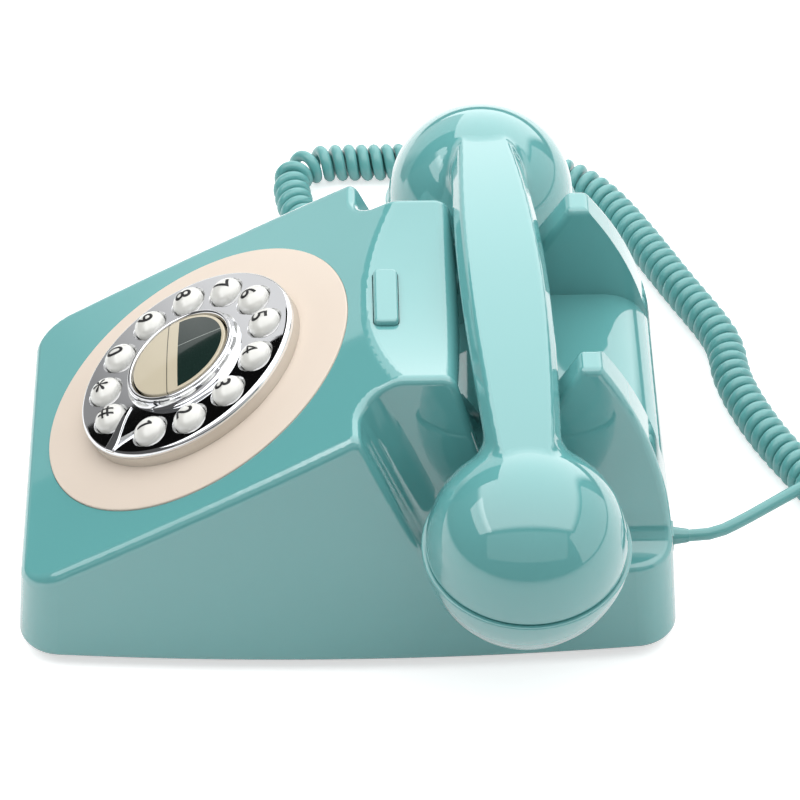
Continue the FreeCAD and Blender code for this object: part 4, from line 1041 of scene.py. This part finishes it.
@dataclass
class Gland:
    """The ribbed sleeve that guards the wire where it leaves the handset.

    Attributes:
        mouth: Where the wire leaves the sleeve, in millimetres.
        way: The way the wire leaves.
        length: Length of the sleeve outside the handset.
        foot: Radius and height of the foot in the handset's wall, in millimetres.
        rib: One rib, from its outermost radius and its lower edge, in millimetres.
        tip: Radius and height of the rounded tip, in millimetres.
        ribs: How many ribs there are.
        first_rib: Height of the first rib's lower edge, in millimetres.
        rib_pitch: From one rib to the next, in millimetres.
        rib_radius: Outermost radius of the first rib, in millimetres.
        rib_taper: How much less each next rib has, in millimetres.
    """

    mouth: Point = (-128.42, 45.31, 67.2)
    way: Point = (-0.99899, -0.04501, 0.0)
    length: float = 9.0 * MM
    foot: Outline = ((0.0, -1.2), (4.2, -1.2), (4.2, 0.45), (4.05, 0.7), (3.8, 0.8), (3.1, 0.85))
    rib: Outline = ((-0.75, 0.0), (-0.2, 0.05), (0.0, 0.3), (-0.05, 0.95), (-0.25, 1.15), (-0.8, 1.2))
    tip: Outline = ((2.45, 8.5), (2.35, 8.85), (2.15, 9.0), (0.0, 9.0))
    ribs: int = 4
    first_rib: float = 1.3
    rib_pitch: float = 1.75
    rib_radius: float = 3.75
    rib_taper: float = 0.2

    def build(self) -> Piece:
        """Turn the sleeve and seat it in the handset.

        Returns:
            The sleeve.
        """
        outline = list(self.foot)
        for k in range(self.ribs):
            low, radius = self.first_rib + self.rib_pitch * k, self.rib_radius - self.rib_taper * k
            outline += [(radius + out, low + up) for out, up in self.rib]
        sleeve = spun("gland", [*outline, *self.tip], Facets.SLEEVE)
        way = Vector(self.way)
        seat = Vector(self.mouth) * MM - way * self.length
        settle(sleeve, Matrix.Translation(seat) @ way.to_track_quat("Z", "Y").to_matrix().to_4x4())
        smooth(sleeve)
        JACKET.dress(sleeve)
        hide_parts("cord_grommet")
        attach(sleeve, Body.HANDSET.value)
        log.info("gland: ribbed sleeve")
        return sleeve


@dataclass
class HandsetCord:
    """The curly cord between the case and the handset.

    Attributes:
        wire: Diameter of the wire.
        section_steps: Fineness of the wire's round section.
        curl: Outside diameter of the curls.
        curl_steps: Steps between two points of the wound wire.
        gap: Space between neighbouring curls.
        table_gap: Space under the curls.
        lead: Straight length where a tail meets the curls.
        socket: Where the wire leaves the plug, in millimetres.
        socket_lead: Straight length out of the plug.
        gland: The sleeve where the wire leaves the handset.
        gland_lead: Straight length out of that sleeve.
        curl_route: Middle line of the curls on the table, in millimetres, from the handset.
        handset_route: Tail at the handset, in millimetres, between its ends.
        case_route: Tail at the case, in millimetres, between its ends.
    """

    wire: float = 4.1 * MM
    section_steps: int = 3
    curl: float = 13.6 * MM
    curl_steps: int = 2
    gap: float = 0.40 * MM
    table_gap: float = 0.1 * MM
    lead: float = 12.0 * MM
    socket: Point = (25.0, 111.92, 12.3)
    socket_lead: float = 7.5 * MM
    gland: Gland = field(default_factory=Gland)
    gland_lead: float = 6.6 * MM
    curl_route: Outline = (
        (-134.5, 40.0), (-131.5, 26.0), (-131.5, 11.0), (-136.0, -2.5), (-145.5, -11.5), (-156.5, -15.5),
        (-167.0, -17.5), (-178.5, -18.6), (-186.5, -12.0), (-187.8, -0.5), (-187.4, 12.0), (-188.0, 28.0),
        (-187.5, 46.0), (-185.0, 64.0), (-180.0, 78.0), (-172.5, 88.5), (-160.0, 97.5), (-140.0, 107.0),
        (-111.0, 119.2), (-90.0, 129.0), (-77.4, 133.0), (-63.5, 133.2), (-47.7, 137.0), (-29.2, 143.8),
        (-12.6, 152.4), (2.5, 160.0), (17.0, 167.0), (28.0, 173.5),
    )
    handset_route: Sequence[Point] = (
        (-141.5, 45.9, 62.0), (-146.0, 44.9, 54.0), (-147.5, 43.7, 43.0), (-144.8, 42.6, 31.5),
    )
    case_route: Sequence[Point] = (
        (21.0, 128.0, 13.6), (16.0, 137.5, 15.8), (10.5, 148.0, 18.3), (5.0, 158.0, 20.5), (-2.0, 167.0, 20.5),
        (-9.5, 175.0, 14.5), (-15.5, 185.0, 7.0), (-18.5, 197.0, 2.8), (-12.0, 208.0, 2.2), (0.5, 211.0, 2.15),
        (12.0, 204.5, 2.15),
    )

    def build(self, plug: Piece) -> None:
        """Make the wound cord and the tail from the handset.

        Args:
            plug: The piece that the cord leaves at the case; not used.
        """
        height = self.curl / 2 + self.table_gap
        line = Route([Vector((x * MM, y * MM, height)) for x, y in self.curl_route]).sampled()
        winding = Winding(line, self.wire, (self.curl - self.wire) / 2, self.gap)
        meeting = winding.points[0] - winding.first_heading * self.wire
        self.make_wound(winding, meeting)
        self.make_tail(meeting, winding.first_heading, self.gland.build())

    def thicken(self, cord: Piece) -> None:
        """Give a cord's curve the wire's round section.

        Args:
            cord: The curve.
        """
        cord.data.bevel_depth = self.wire / 2
        cord.data.bevel_resolution = self.section_steps
        cord.data.use_fill_caps = True

    def make_wound(self, winding: Winding, meeting: Vector) -> None:
        """Make the case's tail and the curls as one cord.

        Args:
            winding: The wound wire.
            meeting: Where the handset's tail takes over.
        """
        leaves = Vector(self.socket) * MM
        end = winding.points[-1] + winding.last_heading * self.wire
        points = [leaves, leaves + Vector((0.0, self.socket_lead, 0.0))]
        points += [Vector(point) * MM for point in self.case_route]
        points += [end + winding.last_heading * self.lead, end, *reversed(winding.points), meeting]
        route = Route(points)
        length = line_length(route.sampled())
        cord = route.curve("curly_cord", self.curl_steps)
        self.thicken(cord)
        cord.data.splines[0].use_smooth = True
        JACKET.dress(cord)
        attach(cord, Body.CASE.value)
        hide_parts("handset_cord_curls", "case_cord_tail")
        log.info("curly_cord: %.2f m of wire", length)

    def make_tail(self, meeting: Vector, heading: Vector, sleeve: Piece) -> None:
        """Make the tail that hangs from the handset to the curls.

        Args:
            meeting: Where the tail meets the curls.
            heading: The way the wire runs there, from the handset.
            sleeve: The piece that the tail leaves at the handset; not used.
        """
        leaves = Vector(self.gland.mouth) * MM
        points = [leaves, leaves + Vector(self.gland.way) * self.gland_lead]
        points += [Vector(point) * MM for point in self.handset_route]
        points += [meeting - heading * self.lead, meeting]
        route = Route(points)
        line = route.sampled()
        tail = route.curve("handset_tail")
        self.thicken(tail)
        activate(tail)
        bpy.ops.object.convert(target="MESH")
        tail = bpy.context.active_object
        merge_points(tail, outward=True)
        smooth(tail)
        JACKET.dress(tail)
        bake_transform(tail)
        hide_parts("handset_cord_tail")
        log.info("handset_tail: %.0f mm of wire", line_length(line) / MM)


@dataclass
class Dial:
    """The ring of keys on the sloping face. Sizes are in millimetres, heights from the cream rim.

    Attributes:
        centre: Middle of the dial at the rim of the cream surround.
        tilt: Slope of the face in degrees.
        bezel_top: Height of the chrome face.
        bezel_radius: Radius of the chrome plate.
        bezel_bore: Radius of the hole in its middle.
        bezel_round: Radius of the rounding at its edge.
        bezel_foot: Height of its rim's foot.
        bezel_wall: Thickness of its rim.
        bezel_plate: Thickness of its face at the bore and at the rim.
        band: How far the satin band stands proud of the rim, and its gaps to the foot and the rounding.
        hole_gap: Space round a key.
        hole_depth: How far the holes are cut below the chrome face.
        sink: Depth of the sloping edge round a hole.
        over: How far the holes' cutter stands over the chrome face.
        ring_height: Height of the ring round the redial button over the chrome face.
        ring_flare: Radius and height of the ring's flared foot over the chrome face.
        ring_neck: Radius and depth below the ring's top of the neck between flare and bead.
        ring_bead: Radius of the bead's circle and of the bead itself.
        ring_bore: Radius of the ring's bore.
        redial_radius: Radius of the redial button.
        redial_drop: How far its rim lies below the ring's top.
        redial_edge: Radius of the rounding at its edge.
        redial_rise: Rise of its low dome.
        redial_depth: Depth of the button below its rim.
        key_circle: Radius of the circle of keys.
        key_radius: Radius of a key.
        key_top: Height of a key over the chrome face.
        key_foot: Depth of a key below the chrome face.
        key_crown: Radius and rise of the low dome on a key.
        key_pitch: Angle between keys in degrees.
        first_key: Angle of the first key in degrees.
        digit: Height of the digits.
        star: Height of the star, in digits.
        bold: How much bolder the signs are drawn, in digits.
        ink: Thickness of the print.
        hover: Height over a key from which its sign is laid on it.
        sign_steps: Steps in each curve of a sign.
        sign_cuts: Cuts across a sign's faces, so that they follow the dome.
        one: Outline of the digit one.
        stop_angle: Angle of the finger stop in degrees.
        stop_thickness: Thickness of the finger stop.
        stop_round: Width of the rounding at its edges.
        stop_stations: Radius, height over the chrome face and half width along the finger stop.
        keys: Body name and sign of each key.
    """

    centre: Point = (0.0, -48.2964, 62.3417)
    tilt: float = 29.6003
    bezel_top: float = 7.2
    bezel_radius: float = 39.7
    bezel_bore: float = 19.0
    bezel_round: float = 1.6
    bezel_foot: float = 1.2
    bezel_wall: float = 1.6
    bezel_plate: Pair = (1.6, 2.4)
    band: Point = (0.08, 0.1, 0.4)
    hole_gap: float = 0.25
    hole_depth: float = 4.0
    sink: float = 0.7
    over: float = 0.5
    ring_height: float = 3.6
    ring_flare: Outline = ((21.3, 0.0), (21.3, 0.3), (20.8, 0.6), (20.4, 1.1), (20.2, 1.7))
    ring_neck: Outline = ((20.1, 1.2), (19.75, 1.0))
    ring_bead: Pair = (18.95, 0.8)
    ring_bore: float = 17.9
    redial_radius: float = 17.3
    redial_drop: float = 0.1
    redial_edge: float = 0.4
    redial_rise: float = 0.7
    redial_depth: float = 3.0
    key_circle: float = 30.1
    key_radius: float = 5.45
    key_top: float = 3.8
    key_foot: float = 1.9
    key_crown: Pair = (4.6, 1.7)
    key_pitch: float = 28.9
    first_key: float = -23.95
    digit: float = 8.2
    star: float = 1.5
    bold: float = 0.014
    ink: float = 0.05
    hover: float = 1.0
    sign_steps: int = 6
    sign_cuts: int = 7
    one: Outline = (
        (-0.45, -2.75), (0.5, -2.75), (0.5, 2.75), (-0.3, 2.75), (-1.55, 1.75), (-1.1, 1.1), (-0.45, 1.6),
    )
    stop_angle: float = -45.0
    stop_thickness: float = 1.0
    stop_round: float = 0.3
    stop_stations: Sequence[Point] = (
        (39.3, -0.4, 2.2), (38.5, 0.0, 2.2), (36.9, 0.3, 2.1), (34.8, 0.95, 1.9), (32.6, 1.85, 1.6),
        (30.2, 2.8, 1.3), (27.8, 3.55, 1.0), (25.6, 4.0, 0.8), (24.0, 4.15, 0.65),
    )
    keys: Sequence[tuple[str, str]] = (
        ("key_1", "1"), ("key_2", "2"), ("key_3", "3"), ("key_4", "4"), ("key_5", "5"), ("key_6", "6"),
        ("key_7", "7"), ("key_8", "8"), ("key_9", "9"), ("key_0", "0"), ("key_star", "*"), ("key_hash", "#"),
    )

    def place(self) -> Matrix:
        """Place of the dial's own axes in the frame."""
        return Matrix.Translation(Vector(self.centre) * MM) @ Matrix.Rotation(math.radians(self.tilt), 4, "X")

    def key_offset(self, index: int) -> Vector:
        """Middle of a key from the middle of the dial."""
        angle = math.radians(self.first_key + index * self.key_pitch)
        return Vector((math.cos(angle), math.sin(angle), 0.0)) * self.key_circle * MM

    def key_place(self, index: int) -> Matrix:
        """Place of a key's own axes in the frame."""
        return self.place() @ Matrix.Translation(self.key_offset(index))

    def build(self) -> None:
        """Make the chrome, the finger stop, the redial button and the keys."""
        self.make_bezel()
        self.make_ring()
        self.make_finger_stop()
        self.make_redial()
        self.make_keys()

    def make_bezel(self) -> None:
        """Turn the chrome plate with its rounded edge, and sink the twelve holes for the keys."""
        top, rim, bore = self.bezel_top, self.bezel_radius, self.bezel_bore
        foot, edge, inside = self.bezel_foot, top - self.bezel_round, rim - self.bezel_wall
        rounding = arc((rim - self.bezel_round, edge), self.bezel_round, first=90.0, last=0.0, count=8)
        under = [(inside, foot), (inside, top - self.bezel_plate[1]), (bore, top - self.bezel_plate[0])]
        plate = spun("chrome_bezel", [(bore, top), *rounding, (rim, foot), *under], Facets.PLATE)
        hole, low = self.key_radius + self.hole_gap, top - self.hole_depth
        high, flare = top + self.over, hole + self.sink + self.over
        section = [(0.0, low), (hole, low), (hole, top - self.sink), (flare, high), (0.0, high)]
        cutter = spun("key_hole", section, Facets.KEY)
        places = [Matrix.Translation(self.key_offset(index)) for index in range(len(self.keys))]
        holes = joined([settle(copied(cutter, "hole"), place) for place in places], "key_holes")
        cut = plate.modifiers.new("holes", "BOOLEAN")
        cut.operation = "DIFFERENCE"
        cut.solver = "EXACT"
        cut.object = holes
        apply_modifier(plate, cut)
        bpy.data.objects.remove(holes)
        bpy.data.objects.remove(cutter)
        smooth(settle(plate, self.place()), Shading.CRISP)
        CHROME.dress(plate)
        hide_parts("dial_bezel")
        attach(plate, Body.CASE.value)
        log.info("chrome_bezel: plate with %d sunk holes", len(self.keys))
        proud, foot_gap, edge_gap = self.band
        low, high = foot + foot_gap, edge - edge_gap
        section = [(rim, low), (rim + proud, low), (rim + proud, high), (rim, high)]
        band = spun("bezel_band", section, Facets.PLATE)
        smooth(settle(band, self.place()), Shading.CRISP)
        SATIN.dress(band)
        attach(band, Body.CASE.value)
        log.info("bezel_band: satin band round the plate")

    def make_ring(self) -> None:
        """Turn the chrome ring round the redial button: a flared foot with a bead on top."""
        foot, top = self.bezel_top, self.bezel_top + self.ring_height
        flare = [(radius, foot + up) for radius, up in self.ring_flare]
        neck = [(radius, top - down) for radius, down in self.ring_neck]
        circle, round_off = self.ring_bead
        bead = arc((circle, top - round_off), round_off, first=0.0, last=180.0, count=12)
        bore = [(self.ring_bore, neck[0][1]), (self.ring_bore, foot)]
        ring = spun("chrome_centre_ring", [*flare, *neck, *bead, *bore], Facets.RING)
        smooth(settle(ring, self.place()), Shading.CRISP)
        CHROME.dress(ring)
        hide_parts("centre_ring")
        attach(ring, Body.CASE.value)
        log.info("chrome_centre_ring: flared ring with a bead")

    def make_finger_stop(self) -> None:
        """Draw a tapering blade from the plate's edge in over the gap between the last key and the first."""
        radius, rise, half = self.stop_stations[0]
        deselect()
        bpy.ops.mesh.primitive_plane_add(size=MM, rotation=(0.0, math.radians(90.0), 0.0))
        blade = bpy.context.active_object
        blade.name = "chrome_finger_stop"
        bpy.ops.object.transform_apply(location=True, rotation=True, scale=True)
        edit_all()
        bpy.ops.transform.resize(value=(1.0, 2 * half, self.stop_thickness), center_override=(0.0, 0.0, 0.0))
        at = Vector((radius, 0.0, self.bezel_top + rise)) * MM
        bpy.ops.transform.translate(value=at)
        for radius, rise, narrow in self.stop_stations[1:]:
            to = Vector((radius, 0.0, self.bezel_top + rise)) * MM
            bpy.ops.mesh.extrude_region_move(TRANSFORM_OT_translate={"value": to - at})
            bpy.ops.transform.resize(value=(1.0, narrow / half, 1.0), center_override=to)
            at, half = to, narrow
        edit_done()
        merge_points(blade, outward=True)
        softened(blade, self.stop_round)
        place = self.place() @ Matrix.Rotation(math.radians(self.stop_angle), 4, "Z")
        smooth(settle(blade, place))
        CHROME.dress(blade)
        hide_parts("finger_stop")
        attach(blade, Body.CASE.value)
        log.info("chrome_finger_stop: tapering blade")

    def make_redial(self) -> None:
        """Turn the redial button's low dome over its printed card."""
        rim = self.bezel_top + self.ring_height - self.redial_drop
        inner, edge, foot = self.redial_radius - self.redial_edge, self.redial_edge, rim - self.redial_depth
        top = dome(inner, rim, self.redial_rise, count=12)
        rounding = arc((inner, rim - edge), edge, first=70.0, last=0.0, count=4)
        disc = spun("redial_disc", [*top, *rounding, (self.redial_radius, foot), (0.0, foot)], Facets.RING)
        smooth(settle(disc, self.place()), Shading.CRISP)
        replace(CARD, centre=tuple(Vector(self.centre) * MM), tilt=self.tilt).dress(disc)
        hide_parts("redial_button")
        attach(disc, Body.REDIAL.value)
        log.info("redial_disc: low dome with its card")

    def make_keys(self) -> None:
        """Turn one domed key, copy it to its twelve places and print the signs."""
        foot = self.bezel_top - self.key_foot
        reach, rise = self.key_crown
        rim = self.bezel_top + self.key_top - rise
        lean = 2 * math.degrees(math.atan(rise / reach))
        turn = (self.key_radius - reach) / (1.0 - math.sin(math.radians(lean)))
        middle = (self.key_radius - turn, rim - turn * math.cos(math.radians(lean)))
        shoulder = arc(middle, turn, first=90.0 - lean, last=0.0, count=10)
        outline = [*dome(reach, rim, rise, count=12), *shoulder[1:], (self.key_radius, foot), (0.0, foot)]
        model = spun("key", outline, Facets.KEY)
        for index, (node, sign) in enumerate(self.keys):
            cap = settle(copied(model, node + "_cap"), self.key_place(index))
            smooth(cap)
            IVORY.dress(cap)
            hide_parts(node)
            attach(cap, node)
            log.info("%s: domed key", cap.name)
            self.print_sign(index, node, sign, cap)
        bpy.data.objects.remove(model)

    def typed(self, sign: str) -> Piece:
        """Set a sign in the built-in typeface, a little bolder where its counters allow it.

        Args:
            sign: The digit or sign.

        Returns:
            The sign's flat mesh.
        """
        deselect()
        bpy.ops.object.text_add()
        text = bpy.context.active_object
        text.data.body = sign
        text.data.size = self.digit * MM * (self.star if sign == "*" else 1.0)
        text.data.offset = (0.0 if sign == "4" else self.bold) * self.digit * MM
        text.data.resolution_u = self.sign_steps
        activate(text)
        bpy.ops.object.convert(target="MESH")
        return bpy.context.active_object

    def drawn_one(self) -> Piece:
        """Draw the digit one with a flag, which the built-in typeface lacks.

        Returns:
            The digit's flat mesh.
        """
        digit = drawn("one", [Vector((x * MM, y * MM, 0.0)) for x, y in self.one])
        bpy.ops.mesh.edge_face_add()
        bpy.ops.mesh.normals_make_consistent(inside=False)
        edit_done()
        return digit

    def print_sign(self, index: int, node: str, sign: str, cap: Piece) -> None:
        """Print a digit or sign on a key's dome.

        Args:
            index: Which key.
            node: Body of the key.
            sign: The digit or sign.
            cap: The domed key.
        """
        text = self.drawn_one() if sign == "1" else self.typed(sign)
        text.name = node + "_sign"
        corners = [vertex.co for vertex in text.data.vertices]
        middle = Vector([(min(c[k] for c in corners) + max(c[k] for c in corners)) / 2 for k in range(3)])
        edit_all()
        bpy.ops.transform.translate(value=-middle)
        bpy.ops.mesh.quads_convert_to_tris()
        bpy.ops.mesh.subdivide(number_cuts=self.sign_cuts)
        edit_done()
        pole = self.bezel_top + self.key_top
        text.matrix_world = self.key_place(index) @ Matrix.Translation((0.0, 0.0, (pole + self.hover) * MM))
        wrap = text.modifiers.new("on_dome", "SHRINKWRAP")
        wrap.target = cap
        wrap.wrap_method = "PROJECT"
        wrap.use_project_z = True
        wrap.use_negative_direction = True
        wrap.use_positive_direction = False
        wrap.offset = self.ink * MM
        apply_modifier(text, wrap)
        bpy.ops.object.transform_apply(location=True, rotation=True, scale=True)
        smooth(text)
        INK.dress(text)
        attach(text, node)
        log.info("%s: printed on its key", text.name)


@dataclass
class Shells:
    """Mouldings whose frame meshes are already true to shape and keep their own surface normals.

    Attributes:
        finishes: Finish of each node.
    """

    finishes: Sequence[tuple[str, Finish]] = (
        ("upper_case", TEAL), ("hook_bar", TEAL), ("handset_shell", TEAL), ("earpiece_cap", TEAL),
        ("mouthpiece_cap", TEAL), ("dial_surround", CREAM), ("base_plate", BLACK), ("rubber_feet", RUBBER),
        ("case_screws", STEEL), ("line_socket", BLACK), ("cord_socket", BLACK), ("keypad_chassis", BLACK),
        ("hook_switch", BLACK), ("receiver_capsule", BLACK), ("microphone_capsule", BLACK),
        ("keypad_mat", SILICONE), ("keypad_screws", STEEL), ("hook_bracket", STEEL), ("ringer_frame", STEEL),
        ("ringer_hammer", STEEL), ("ballast_plate", IRON), ("ringer_gongs", BRASS), ("ringer_coils", COPPER),
        ("main_board", BOARD), ("keypad_board", BOARD),
    )

    def build(self) -> None:
        """Give each node its finish."""
        for node, finish in self.finishes:
            finish.coat_node(node)
            log.info("%s: %s", node, finish.name)


def main() -> None:
    """Build the telephone in its studio."""
    logging.basicConfig(level=logging.INFO, format="%(name)s: %(message)s")
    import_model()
    Studio().build()
    Shells().build()
    Dial().build()
    plug = PLUG.dress(merged_copy("cord_plug", "plug"))
    HandsetCord().build(plug)


if __name__ == "__main__":
    main()
